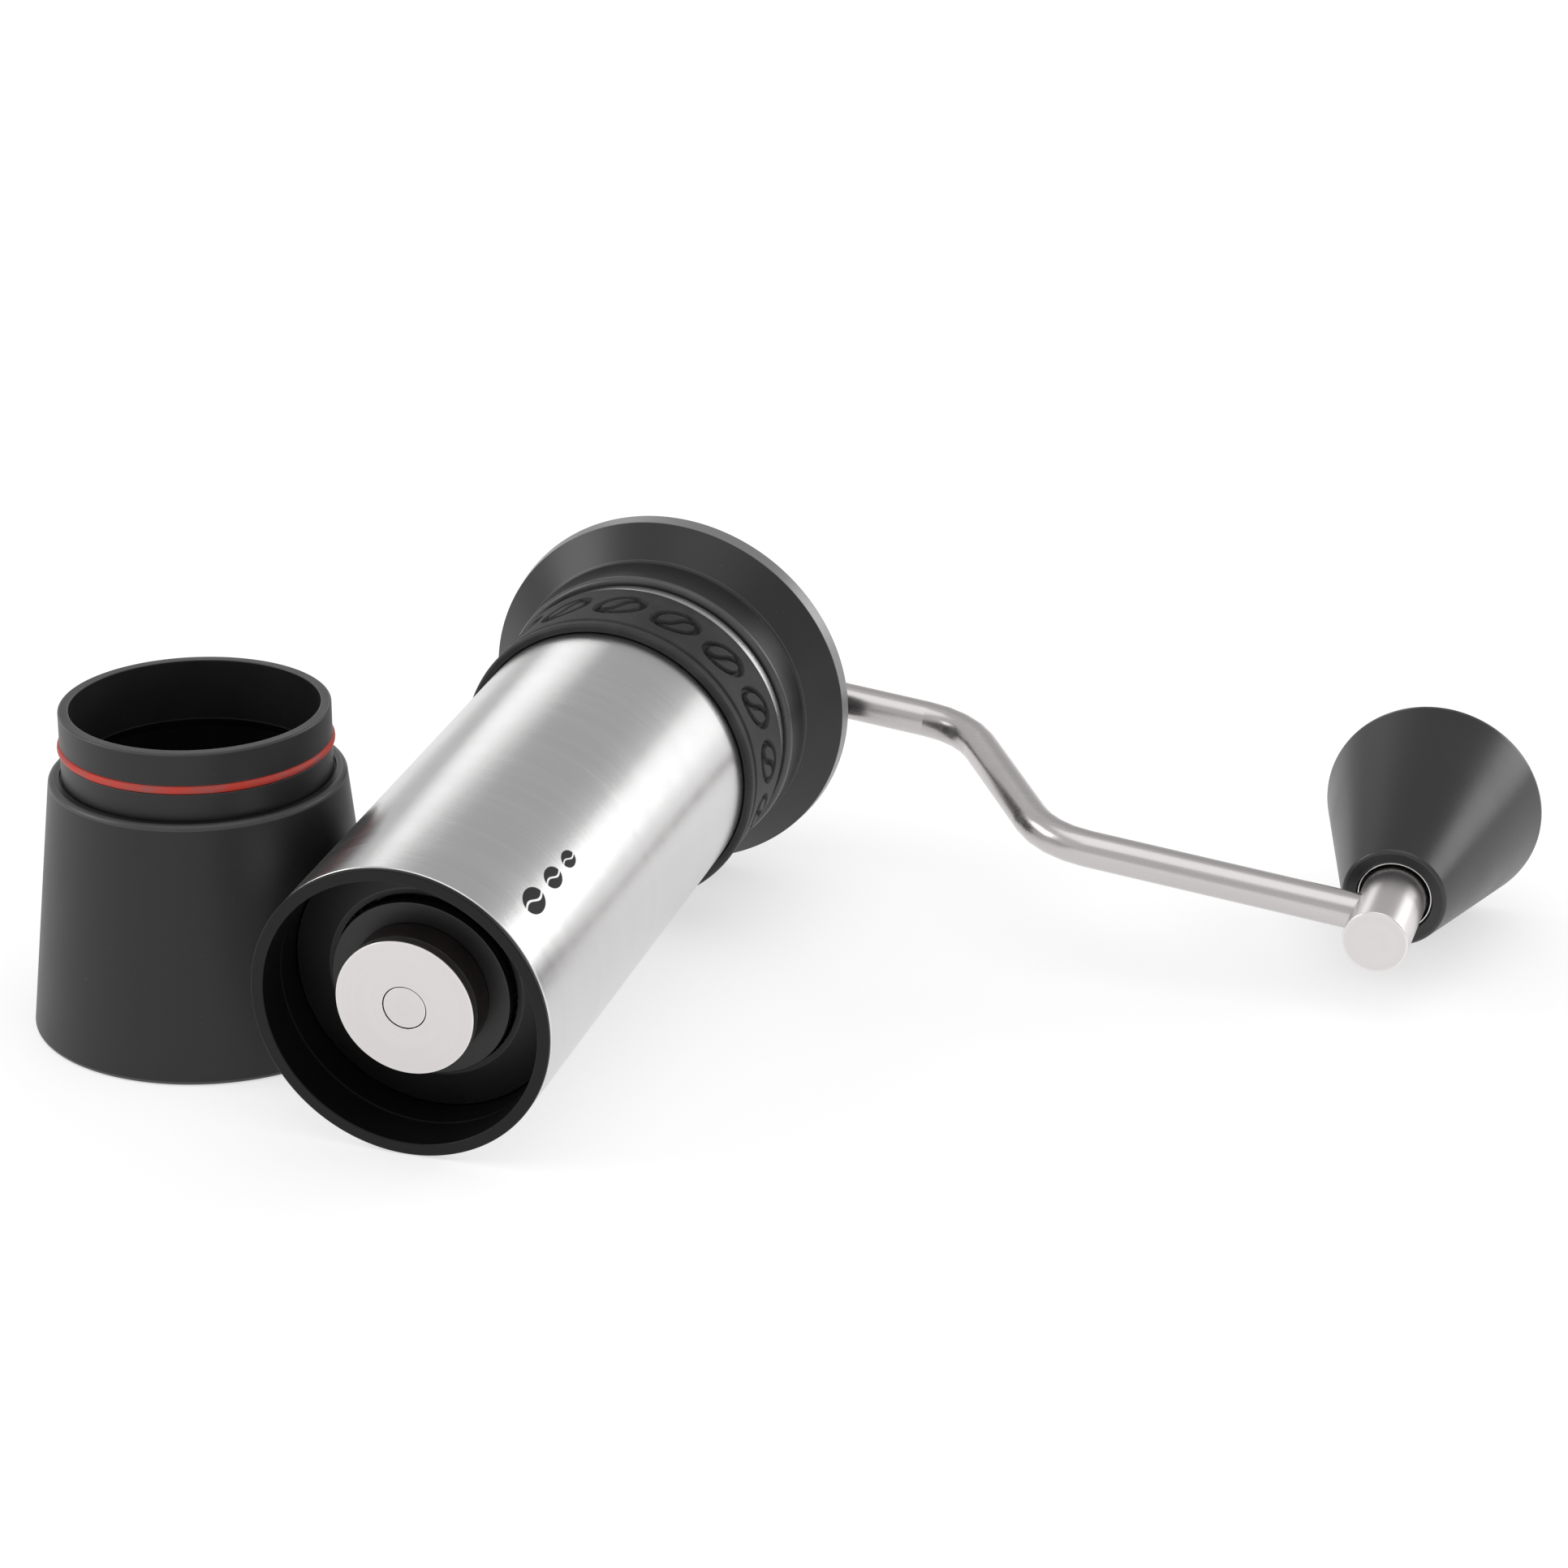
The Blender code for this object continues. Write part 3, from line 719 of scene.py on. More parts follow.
@dataclass(frozen=True)
class Rubber:
    """Soft rubber: dull, with a close grain, a trace of dust, and painted shade in its hollows."""

    name: str
    colour: tuple[float, float, float] = (0.024, 0.024, 0.025)
    dust: float = 0.05
    rough: float = 0.62
    shine: float = 0.3
    hollow: float = 0.2

    def build(self, axis: Axis) -> bpy.types.Material:
        """Grain and dust are noise at two sizes.

        Args:
            axis: the axis of the piece.

        Returns:
            The material.
        """
        graph = Graph(self.name)
        point = graph.local(axis).point
        grain = graph.noise(point, 5.0, 2.0)
        cloud = graph.noise(point, 0.15, 4.0)
        wear_and_sheen, grime_and_shade = graph.wear()
        shade = graph.blend(cloud.step(0.35, 0.75) * 0.5, (*self.colour, 1.0), grey(self.dust, 0.03))
        # Painted shade: concave rounds and sunk grooves keep only the share hollow of the colour.
        shade = graph.blend(grime_and_shade * 0.9, shade, (*(c * self.hollow for c in self.colour), 1.0))
        rough = grain * 0.1 + cloud * 0.1 + (self.rough - 0.1) - wear_and_sheen * 0.1
        return graph.done(Base_Color=shade, Roughness=rough, Specular_IOR_Level=self.shine,
                          Normal=graph.relief(grain, 0.02))


@dataclass(frozen=True)
class Plain:
    """Bronze, alloy or polymer with a tumbled grain."""

    name: str
    colour: tuple[float, float, float]
    metal: float = 1.0
    rough: float = 0.35

    def build(self, axis: Axis) -> bpy.types.Material:
        """Grain and tarnish are noise at two sizes.

        Args:
            axis: the axis of the piece.

        Returns:
            The material.
        """
        graph = Graph(self.name)
        point = graph.local(axis).point
        grain = graph.noise(point, 2.5, 3.0)
        stain = graph.noise(point, 0.25, 3.0)
        wear_and_sheen, grime_and_shade = graph.wear()
        deep = (*(c * 0.7 for c in self.colour), 1.0)
        shade = graph.blend(stain.step(0.3, 0.75), (*self.colour, 1.0), deep)
        # Painted shade: concave rounds are darker.
        shade = graph.blend(grime_and_shade * 0.5, shade, (*(c * 0.35 for c in self.colour), 1.0))
        rough = grain * 0.1 + stain * 0.1 + (self.rough - 0.1) - wear_and_sheen * 0.05
        return graph.done(Base_Color=shade, Metallic=self.metal, Roughness=rough,
                          Normal=graph.relief(grain, 0.015))


@dataclass(frozen=True)
class ScaledAlloy(Plain):
    """Dial alloy with dark marks on its flat top: a long one every fifth."""

    marks: int = 30
    top: float = 158.6
    span: tuple[float, float] = (12.3, 14.6)

    def build(self, axis: Axis) -> bpy.types.Material:
        """Marks are narrow sectors: the angle folded over and over, times the radius.

        Args:
            axis: the axis of the piece.

        Returns:
            The material.
        """
        graph = Graph(self.name)
        place = graph.local(axis)
        radius, angle = place.radius, place.side.angle_from(place.down)
        grain = graph.noise(place.drawn(0.1, 5.0), 1.0, 3.0)
        top = place.station.step(self.top - 0.3, self.top - 0.1)
        start, pitch = self.span[0], math.tau / self.marks
        every = abs(angle.folded(pitch) * radius).step(0.28, 0.2) * radius.step(start + 0.6, start + 0.7)
        fifth = abs(angle.folded(5 * pitch) * radius).step(0.34, 0.26) * radius.step(start, start + 0.1)
        marks = every.math("MAXIMUM", every, fifth) * top * radius.step(self.span[1] + 0.1, self.span[1])
        wear_and_sheen, _ = graph.wear()
        shade = graph.blend(grain, (*self.colour, 1.0), (*(c * 1.1 for c in self.colour), 1.0))
        # Painted highlight with wear: convex rounds are lighter.
        shade = graph.blend(wear_and_sheen * 0.5, shade, grey(0.75))
        shade = graph.blend(marks, shade, grey(0.02))
        rough = grain * 0.15 + (self.rough - 0.07) + marks * 0.3
        return graph.done(Base_Color=shade, Metallic=self.metal, Roughness=rough,
                          Normal=graph.relief(grain, 0.01))


Finish = Steel | SatinBlack | Rubber | Plain

# ---------------------------------------------------------------- pieces


def add_piece(name: str, surface: Surface, finish: Finish, axis: Axis, body: Body, slot: str,
              *nodes: str) -> None:
    """Makes an object from a surface, dresses it, and ties it to the frame.

    Args:
        name: the piece's name.
        surface: its shape, in metres in the frame.
        finish: its finish.
        axis: the axis that the finish's pattern follows.
        body: the CAD body it rides on.
        slot: the record's material slot; not used.
        nodes: the CAD nodes it stands for.
    """
    mesh = bpy.data.meshes.new(name)
    mesh.from_pydata(surface.points.tolist(), [], surface.faces())
    mesh.attributes.new("wear", "FLOAT", "POINT").data.foreach_set("value", surface.wear.astype(np.float32))
    mesh.shade_smooth()
    mesh.set_sharp_from_angle(angle=math.radians(32))
    mesh.materials.append(finish.build(axis))
    piece = bpy.data.objects.new(name, mesh)
    bpy.context.scene.collection.objects.link(piece)
    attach(piece, body.value)
    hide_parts(*nodes)
    LOG.info("%s: %d faces, rides on %s", name, len(mesh.polygons), body.value)


def dress(finish: Finish, axis: Axis, *nodes: str) -> None:
    """Gives CAD nodes a finish and leaves their shape alone.

    Args:
        finish: the finish.
        axis: the axis that its pattern follows.
        nodes: the CAD nodes.
    """
    material = finish.build(axis)
    for node in nodes:
        for slot in frame["nodes"][node].material_slots:
            slot.material = material
        LOG.info("%s: kept, with %s", node, finish.name)


@dataclass(frozen=True)
class Assembly:
    """Pieces that are turned about one axis."""

    axis: Axis

    def turned(self, name: str, outline: Outline, sides: Sides, finish: Finish, body: Body, slot: str,
               *nodes: str, axis: Axis | None = None, shape: Shape | None = None) -> None:
        """Turns an outline and adds it as a piece.

        Args:
            name: the piece's name.
            outline: its outline.
            sides: its number of columns.
            finish: its finish.
            body: the CAD body it rides on.
            slot: the record's material slot.
            nodes: the CAD nodes it stands for.
            axis: its axis, where that isn't the assembly's own.
            shape: changes its radius, as in turn.
        """
        axis = axis or self.axis
        add_piece(name, turn(axis, outline, sides, shape), finish, axis, body, slot, *nodes)


@dataclass(frozen=True)
class TubeShell(Assembly):
    """Steel tube with the black socket liner, the rubber grip and the hopper collar."""

    radius: float = 30.0
    wall: float = 1.4
    top: float = 139.0
    lip: float = 1.0
    socket: float = 27.5
    sleeve: float = 28.4
    grip: tuple[float, float] = (112.4, 132.3)
    grip_radius: float = 31.9
    land: tuple[float, float] = (132.5, 135.8)
    land_radius: float = 31.1
    beans: int = 16
    neck: float = 32.6
    rim: float = 39.75
    rim_top: float = 154.0

    def build(self) -> None:
        """Builds the four pieces."""
        self.build_tube()
        self.build_liner()
        self.build_grip()
        self.build_collar()

    def build_tube(self) -> None:
        """Plain ring with softened ends and a raised land that shows between grip and collar."""
        inner, foot = self.radius - self.wall, self.lip + 0.2
        low, high = self.land
        outline = Outline([At(inner, self.top, 0.1), At(self.radius, self.top, 0.25),
                           At(self.radius, high, 0.05), At(self.land_radius, high, 0.3),
                           At(self.land_radius, low, 0.3),
                           At(self.radius, low, 0.05), At(self.radius, foot, 0.3), At(inner, foot, 0.1)])
        self.turned("tube", outline, Sides.LARGE, MarkedSteel("brushed_tube_steel"), Body.HOUSING,
                    "tube_steel", "body_tube")

    def build_liner(self) -> None:
        """Sleeve with a lip over the tube's end and a groove for the cup's soft ring."""
        hollow = 0.2
        outline = Outline([
            At(self.sleeve - hollow, 34.0, 0.1), At(self.sleeve, 34.0, 0.1), At(self.sleeve, self.lip),
            At(self.radius, self.lip, 0.2), At(self.radius, 0.0, 0.3), At(self.socket, 0.0, 0.3),
            At(self.socket, 6.3, 0.04), At(self.socket + hollow, 6.6, 0.1),
            At(self.socket + hollow, 8.6, 0.1),
            At(self.socket, 8.9, 0.04), At(self.socket, 15.7, 0.1), At(self.socket + hollow, 16.1, 0.1)])
        self.turned("socket_liner", outline, Sides.LARGE,
                    SatinBlack("liner_black", level=0.003, edge=0.004, shine=0.25), Body.HOUSING,
                    "body_black", "bottom_liner")

    def build_grip(self) -> None:
        """Rubber band with a bead on its lower edge and a row of sunk bean outlines, darkened with painted
        shade.
        """
        low, high = self.grip
        face = self.grip_radius - 0.05
        outline = Outline([
            At(self.radius + 0.2, low, 0.2), At(self.grip_radius, low, 0.8),
            At(self.grip_radius, low + 2.2, 0.6),
            At(face - 0.7, low + 2.6, 0.15), At(face - 0.7, low + 3.0, 0.15), At(face, low + 3.5, 0.4, 0.27),
            At(face, high, 0.7), At(self.radius + 0.2, high, 0.2)])
        columns = 760
        line, wear = outline.points()
        angle = np.linspace(0, math.tau, columns, endpoint=False)[None]
        radius, station = line[:, :1] + 0 * angle, line[:, 1:] + 0 * angle
        dent = self.bean_grooves(angle, station) * (radius > face - 0.02)
        surface = Surface.grid(self.axis.place(radius - 1.0 * dent, angle, station), wear,
                               np.zeros(len(line), bool), True)
        # The grooves count as concave, so the rubber paints shade in them.
        surface = Surface(surface.points, surface.quads, np.maximum(-1, surface.wear - dent.ravel()))
        add_piece("grip", surface, Rubber("grip_rubber"), self.axis, Body.HOUSING, "grip_rubber",
                  "grip_band")

    def bean_grooves(self, angle: np.ndarray, station: np.ndarray) -> np.ndarray:
        """Sunk strokes: each bean is an ellipse's ring and an S-shaped crease, leaning one way.

        With (u, v) the place in a bean's own box, over its half length and half width, the
        ring is |sqrt(u^2 + v^2) - 1| and the crease |v - 0.25 sin(pi u)|, both cut off softly.

        Args:
            angle: radians round the band.
            station: millimetres along it.

        Returns:
            Depth from 0 to 1.
        """
        low, high = self.grip
        pitch = math.tau / self.beans
        arc = ((angle + pitch / 2) % pitch - pitch / 2) * self.grip_radius
        rise = station - (low + 3.5 + high - 0.7) / 2
        lean = math.radians(35)
        u = (math.cos(lean) * arc + math.sin(lean) * rise) / 5.0
        v = (math.cos(lean) * rise - math.sin(lean) * arc) / 3.5
        reach = np.hypot(u, v)
        ring = np.abs(reach - 1) * 4.0
        crease = np.where(reach < 1, np.abs(v - 0.25 * np.sin(math.pi * u)) * 3.5, 9.0)
        return 1 - smooth(np.minimum(ring, crease), 0.38, 0.78)

    def build_collar(self) -> None:
        """Neck over the tube's top end, flaring to a rim that holds the lid."""
        inside = self.radius + 0.2
        outline = Outline([
            At(37.0, 152.4, 0.3), At(38.7, 152.4, 0.1), At(38.7, self.rim_top, 0.15),
            At(self.rim, self.rim_top, 0.25),
            At(self.rim - 0.35, 150.9, 0.22), At(33.1, 145.1, 0.5), At(self.neck, 144.7, 0.3),
            At(self.neck, 136.0, 1.1), At(inside, 136.0, 0.15), At(inside, 139.2), At(28.6, 139.2, 0.1),
            At(28.6, 147.2, 0.5)])
        # Its rim band gets a painted sheen, and its rounds a painted highlight.
        self.turned("collar", outline, Sides.LARGE, BandedBlack("collar_black", level=0.009, rough=0.34,
                                                                edge=0.08),
                    Body.HOUSING, "body_black", "hopper_collar")


def smooth(x: np.ndarray, low: float, high: float) -> np.ndarray:
    """Smooth step: t^2 (3 - 2t), where t is x brought from low..high to 0..1.

    Args:
        x: the numbers.
        low: where it leaves 0.
        high: where it reaches 1.

    Returns:
        Numbers from 0 to 1.
    """
    t = np.clip((x - low) / (high - low), 0, 1)
    return t * t * (3 - 2 * t)


def teeth(phase: np.ndarray) -> np.ndarray:
    """Sloping teeth: each rises over three quarters of a turn of the phase and drops back.

    Args:
        phase: place in the row of teeth, in turns.

    Returns:
        Height from 0 to 1.
    """
    part = phase % 1.0
    return np.where(part < 0.75, part / 0.75, (1 - part) / 0.25)


@dataclass(frozen=True)
class BurrSet(Assembly):
    """Both burrs, the carrier round them, and the spindle with what clamps its end."""

    turning: Axis
    carrier_face: float = 13.6
    burr_face: float = 10.9
    burr_radius: float = 18.05
    disc: float = 13.95
    spindle: float = 4.25
    fine_teeth: int = 48
    flutes: int = 6

    def build(self) -> None:
        """Builds the six pieces."""
        self.build_still()
        self.build_turning()

    def build_still(self) -> None:
        """Carrier, and the outer burr with teeth cut into its cone."""
        mouth = self.burr_radius + 0.4
        outline = Outline([At(23.6, 30.0, 0.1), At(27.3, 30.0, 0.2), At(27.3, 15.5, 0.3),
                           At(mouth + 1.2, self.carrier_face, 0.8), At(mouth, self.carrier_face, 0.2),
                           At(mouth, 15.0, 0.1), At(23.6, 15.0, 0.1)])
        self.turned("carrier", outline, Sides.LARGE, SatinBlack("carrier_black", level=0.005, rough=0.5),
                    Body.HOUSING, "carrier_black", "burr_carrier")
        outline = Outline([At(21.2, 30.0, 0.1), At(23.4, 30.0, 0.2), At(23.4, 15.2, 0.2),
                           At(18.5, 15.2, 0, 0.6), At(18.65, 18.5, 0.0, 0.8)])
        self.turned("still_burr", outline, Sides.LARGE, Steel("burr_steel_still", level=0.3, rough=0.32),
                    Body.HOUSING, "burr_steel", "outer_burr", shape=self.cut_outer)

    def cut_outer(self, radius: np.ndarray, angle: np.ndarray, station: np.ndarray) -> np.ndarray:
        """Teeth in the inner cone: radius plus half a millimetre times the teeth, leaning with station."""
        cut = 0.5 * teeth(self.fine_teeth * angle / math.tau + station / 22.0)
        return np.where(radius < 22.0, radius + cut, radius)

    def cut_inner(self, radius: np.ndarray, angle: np.ndarray, station: np.ndarray) -> np.ndarray:
        """Fine teeth low on the cone, and deep leaning flutes that take over above them."""
        upper = smooth(station, 17.0, 22.0)
        fine = 0.45 * teeth(self.fine_teeth * angle / math.tau - station / 16.0)
        fine = fine * (1 - upper) * smooth(station, 12.0, 13.5)
        deep = 2.2 * teeth(self.flutes * angle / math.tau - station / 30.0) * upper
        outside = smooth(radius, 7.0, 7.6)
        return radius - (fine + deep * smooth(radius, 7.4, 10.5)) * outside * (radius > 7.2)

    def build_turning(self) -> None:
        """Inner burr, spacer, end disc and spindle, which turn with the crank."""
        hole = self.spindle + 0.2
        burr = Outline([At(hole, 33.3, 0.1), At(7.6, 33.3, 0.2), At(9.4, 31.0, 0.2, 0.8),
                        At(17.4, 18.0, 0.3, 0.5),
                        At(self.burr_radius, 14.0, 0.2, 0.5), At(self.burr_radius, self.burr_face, 0.15),
                        At(13.0, self.burr_face), At(hole, self.burr_face, 0.1)])
        steel = Steel("burr_steel_turning", level=0.05, rough=0.42, metal=0.9)
        self.turned("turning_burr", burr, Sides.LARGE, steel, Body.CRANK, "burr_steel", "inner_burr",
                    axis=self.turning, shape=self.cut_inner)
        spacer = Outline([At(hole, 5.2, 0.1), At(13.8, 5.2, 0.2), At(13.8, 10.7, 0.2), At(hole, 10.7, 0.1)])
        self.turned("spacer", spacer, Sides.MIDDLE,
                    Plain("spacer_oxide", (0.075, 0.062, 0.058), metal=0.6, rough=0.40), Body.CRANK,
                    "spacer_dark", "burr_spacer", axis=self.turning)
        disc = Outline([At(hole, 2.8, 0.1), At(self.disc, 2.8, 0.25), At(self.disc, 5.0, 0.2),
                        At(hole, 5.0, 0.1)])
        self.turned("disc", disc, Sides.LARGE,
                    Steel("disc_steel", level=0.67, warm=0.05, rough=0.36, depth=0.0005), Body.CRANK,
                    "polished_steel", "end_disc", axis=self.turning)
        pin = self.spindle
        spindle = Outline([At(0, 171.0), At(pin, 171.0, 0.3), At(pin, 2.9, 0.15), At(0, 2.9)], closed=False)
        self.turned("spindle_rod", spindle, Sides.SMALL,
                    Steel("spindle_steel", level=0.66, warm=0.04, rough=0.34, depth=0.001), Body.CRANK,
                    "polished_steel", "spindle", axis=self.turning)


@dataclass(frozen=True)
class HopperEnd(Assembly):
    """Lid with its soft ring, the lobed dial, and the washer under the crank."""

    lid: float = 38.4
    lid_top: float = 157.8
    dial: float = 15.5
    lobes: int = 24

    def build(self) -> None:
        """Builds the four pieces."""
        lid = Outline([
            At(17.0, self.lid_top, 0.6), At(22.0, self.lid_top, 0.4), At(22.5, self.lid_top - 0.5, 0.3),
            At(31.4, self.lid_top - 0.5, 0.3), At(31.9, self.lid_top, 0.4), At(34.0, self.lid_top, 2.0),
            At(36.8, self.lid_top - 0.9, 1.5), At(self.lid, 154.6, 0.5), At(self.lid, 152.6, 0.25),
            At(35.4, 152.6, 0.1), At(35.4, 154.5, 0.3), At(17.0, 155.8, 0.3)])
        self.turned("hopper_lid", lid, Sides.LARGE, SatinBlack("lid_black", rough=0.38), Body.LID,
                    "body_black", "lid")
        seal = Outline([At(33.4, 154.3, 0.3), At(35.2, 154.3, 0.3), At(35.2, 152.6, 0.5),
                        At(33.4, 152.6, 0.5)])
        self.turned("soft_ring", seal, Sides.LARGE, Rubber("seal_rubber", (0.03, 0.03, 0.03)), Body.LID,
                    "seal_rubber", "lid_seal")
        dial = Outline([At(9.2, 158.6, 0.3), At(self.dial, 158.6, 0.6), At(self.dial, 149.4, 0.5),
                        At(9.2, 149.4, 0.2)])
        self.turned("dial", dial, Sides.LARGE, ScaledAlloy("dial_alloy", (0.56, 0.56, 0.57), rough=0.3),
                    Body.DIAL, "dial_alloy", "adjusting_dial", shape=self.scallop)
        washer = Outline([At(4.45, 160.4, 0.1), At(12.4, 160.4, 0.25), At(12.4, 158.8, 0.25),
                          At(4.45, 158.8, 0.1)])
        self.turned("washer", washer, Sides.MIDDLE, Plain("bronze", (0.58, 0.38, 0.18), rough=0.32),
                    Body.CARRIAGE, "bronze", "thrust_washer")

    def scallop(self, radius: np.ndarray, angle: np.ndarray, station: np.ndarray) -> np.ndarray:
        """Lobes: the outer radius less up to half a millimetre, as half of 1 - cos of lobes times angle."""
        dip = 0.25 * (1 - np.cos(self.lobes * angle))
        return radius - dip * smooth(radius, 13.0, self.dial)


@dataclass(frozen=True)
class Crank(Assembly):
    """Hub on the spindle, bent rod, and the boss that carries the knob."""

    knob_axis: Axis
    reach: float = 163.1
    rod: float = 3.8
    level: float = 165.9
    far_level: float = 125.0
    bends: tuple[float, float] = (63.0, 91.8)
    bend_round: float = 17.0
    boss: float = 6.7
    boss_span: tuple[float, float] = (114.0, 138.4)

    def build(self) -> None:
        """Builds the four pieces."""
        hub = Outline([At(4.45, 171.2, 0.15), At(9.0, 171.2, 0.7), At(9.0, 160.6, 0.6),
                       At(4.45, 160.6, 0.15)])
        self.turned("hub", hub, Sides.MIDDLE, Steel("crank_steel", level=0.6, rough=0.22, depth=0.006),
                    Body.CRANK, "polished_steel", "crank_hub")
        near, far = self.bends
        path = Outline([At(6.0, self.level, 0, 1.5), At(near, self.level, self.bend_round, 1.5),
                        At(far, self.far_level, self.bend_round, 1.5),
                        At(self.reach - self.boss + 2.0, self.far_level)], closed=False)
        add_piece("rod", sweep(self.axis, path, self.rod, 40), RodSteel("rod_steel"), self.axis, Body.CRANK,
                  "polished_steel", "crank_arm")
        low, high = self.boss_span
        boss = Outline([At(0, high), At(self.boss, high, 0.4), At(self.boss, low, 0.35), At(0, low)],
                       closed=False)
        self.turned("boss", boss, Sides.MIDDLE,
                    Steel("boss_steel", level=0.66, warm=0.05, rough=0.30, depth=0.0005), Body.CRANK,
                    "polished_steel", "knob_boss", axis=self.knob_axis)
        nut = Outline([At(0, 175.8), At(3.4, 175.5, 1.5), At(5.4, 174.0, 0.6), At(6.6, 173.3, 0.2),
                       At(6.6, 171.4, 0.2), At(0, 171.4)], closed=False)
        self.turned("nut", nut, Sides.MIDDLE, Steel("nut_steel", level=0.66, rough=0.2, depth=0.004),
                    Body.CRANK, "polished_steel", "cap_nut", shape=self.six_flats)

    @staticmethod
    def six_flats(radius: np.ndarray, angle: np.ndarray, station: np.ndarray) -> np.ndarray:
        """A turned blank cut by six flats: the lesser of radius and flat / cos of the folded angle."""
        sixth = math.tau / 6
        flat = 6.6 * math.cos(sixth / 2)
        return np.minimum(radius, flat / np.cos((angle + sixth / 2) % sixth - sixth / 2))


@dataclass(frozen=True)
class Knob(Assembly):
    """Black cone that spins on the boss, with the cap in its wide end."""

    small: float = 10.65
    big: float = 23.05
    low: float = 134.1
    wide_at: float = 179.3
    top: float = 181.6
    recess: float = 7.85
    recess_floor: float = 139.6
    boss_gap: float = 7.5

    def build(self) -> None:
        """Builds the cone and its cap."""
        shell = Outline([
            At(15.2, self.top, 0.15), At(21.2, self.top, 1.2), At(self.big, self.wide_at - 0.02, 1.6),
            At(self.small, self.low, 0.8), At(self.recess, self.low, 0.35),
            At(self.recess, self.recess_floor, 0.15),
            At(5.8, self.recess_floor, 0.1), At(5.8, 168.0, 0.1), At(9.0, 168.0, 0.1), At(9.0, 174.4, 0.1),
            At(15.2, 174.4, 0.1)])
        self.turned("knob_cone", shell, Sides.LARGE, SatinBlack("knob_black", level=0.004, rough=0.36,
                                                                shine=0.6),
                    Body.KNOB, "knob_black", "knob_shell")
        ring = Outline([At(self.boss_gap + 0.22 * math.cos(a), self.low + 0.9 + 0.22 * math.sin(a))
                        for a in np.linspace(0, math.tau, 12, endpoint=False)])
        self.turned("knob_ring", ring, Sides.MIDDLE, Steel("ring_steel", level=0.8, depth=0.002), Body.KNOB,
                    "polished_steel")
        cap = Outline([At(0, self.top + 0.5), At(9.0, self.top + 0.35, 6.0), At(15.0, self.top - 0.1, 0.3),
                       At(15.0, 174.6, 0.1), At(0, 174.6)], closed=False)
        self.turned("knob_plug", cap, Sides.LARGE, SatinBlack("knob_cap_black", rough=0.36), Body.KNOB,
                    "knob_black", "knob_cap")


@dataclass(frozen=True)
class CatchCup(Assembly):
    """Black tapered cup with a spigot that carries a red soft ring."""

    base: float = 35.0
    taper: float = 0.1064
    shoulder: float = 52.6
    spigot: float = 26.8
    mouth: float = 24.7
    top: float = 66.5
    ring_at: float = 58.95
    ring: float = 0.88
    wall: float = 3.4

    def side(self, height: float) -> float:
        """Outer radius of the tapered wall at a height."""
        return self.base - self.taper * height

    def build(self) -> None:
        """Builds the cup and its ring."""
        slot = self.ring + 0.05
        seat = self.spigot - 0.85
        neck, step = self.mouth - 0.6, self.shoulder + 1.4
        outline = Outline([
            At(0, 3.0), At(self.side(3.0) - self.wall, 3.0, 3.0),
            At(self.side(step) - self.wall, step - 2.5, 1.2),
            At(neck, step, 0.5), At(self.mouth, self.top, 0.18), At(self.spigot, self.top, 0.4),
            At(self.spigot, self.ring_at + slot, 0.12),
            At(seat, self.ring_at + slot, 0.1), At(seat, self.ring_at - slot, 0.1),
            At(self.spigot, self.ring_at - slot, 0.12), At(self.spigot, self.shoulder - 0.45, 0.1),
            At(self.spigot + 0.45, self.shoulder - 0.45, 0.1), At(self.spigot + 0.45, self.shoulder, 0.12),
            At(self.side(self.shoulder), self.shoulder, 1.3), At(self.base, 0.0, 0.7), At(0, 0.0)],
            closed=False)
        # The cup's edge grey is the painted highlight along its rim's rounds, with wear.
        self.turned("cup", outline, Sides.LARGE,
                    SatinBlack("cup_black", level=0.005, rough=0.44, edge=0.06, shine=0.48), Body.CUP,
                    "cup_black", "catch_cup")
        angle = np.linspace(0, math.tau, 24, endpoint=False)
        section = [At(max(seat + 0.15, self.spigot + 0.5 - self.ring + self.ring * math.cos(a)),
                      self.ring_at + self.ring * math.sin(a)) for a in angle]
        add_piece("red_ring", turn(self.axis, Outline(section), Sides.LARGE),
                  Rubber("red_rubber", (0.50, 0.04, 0.024), dust=0.12, rough=0.5, hollow=0.5), self.axis,
                  Body.CUP, "oring_red", "cup_oring")


def dress_hidden(still: Axis, turning: Axis, knob: Axis) -> None:
    """Finishes for the CAD nodes inside the tube and the knob, whose shapes are kept.

    Args:
        still: the grinder's axis.
        turning: the same axis, for what turns; not used.
        knob: the knob's axis.
    """
    dress(Plain("bridge_alloy", (0.42, 0.42, 0.43), rough=0.45), still, "lower_bridge", "upper_bridge")
    dress(Steel("bearing_steel", level=0.6, rough=0.22), still, "lower_bearing", "upper_bearing",
          "detent_ball")
    dress(Steel("spring_steel", level=0.5, rough=0.3), still, "preload_spring", "detent_spring")
    dress(Steel("fastener_steel", level=0.6, rough=0.25), still, "burr_clamp_ring", "burr_screw_1",
          "burr_screw_2", "burr_screw_3", "threaded_sleeve")
    dress(Plain("index_alloy", (0.5, 0.5, 0.51), rough=0.35), still, "index_ring")
    dress(Steel("pin_steel", level=0.64, rough=0.22), knob, "knob_pin", "knob_retainer")
    dress(Plain("bush_polymer", (0.7, 0.68, 0.6), metal=0.0, rough=0.45), knob, "knob_bush_lower",
          "knob_bush_upper")


# ---------------------------------------------------------------- studio


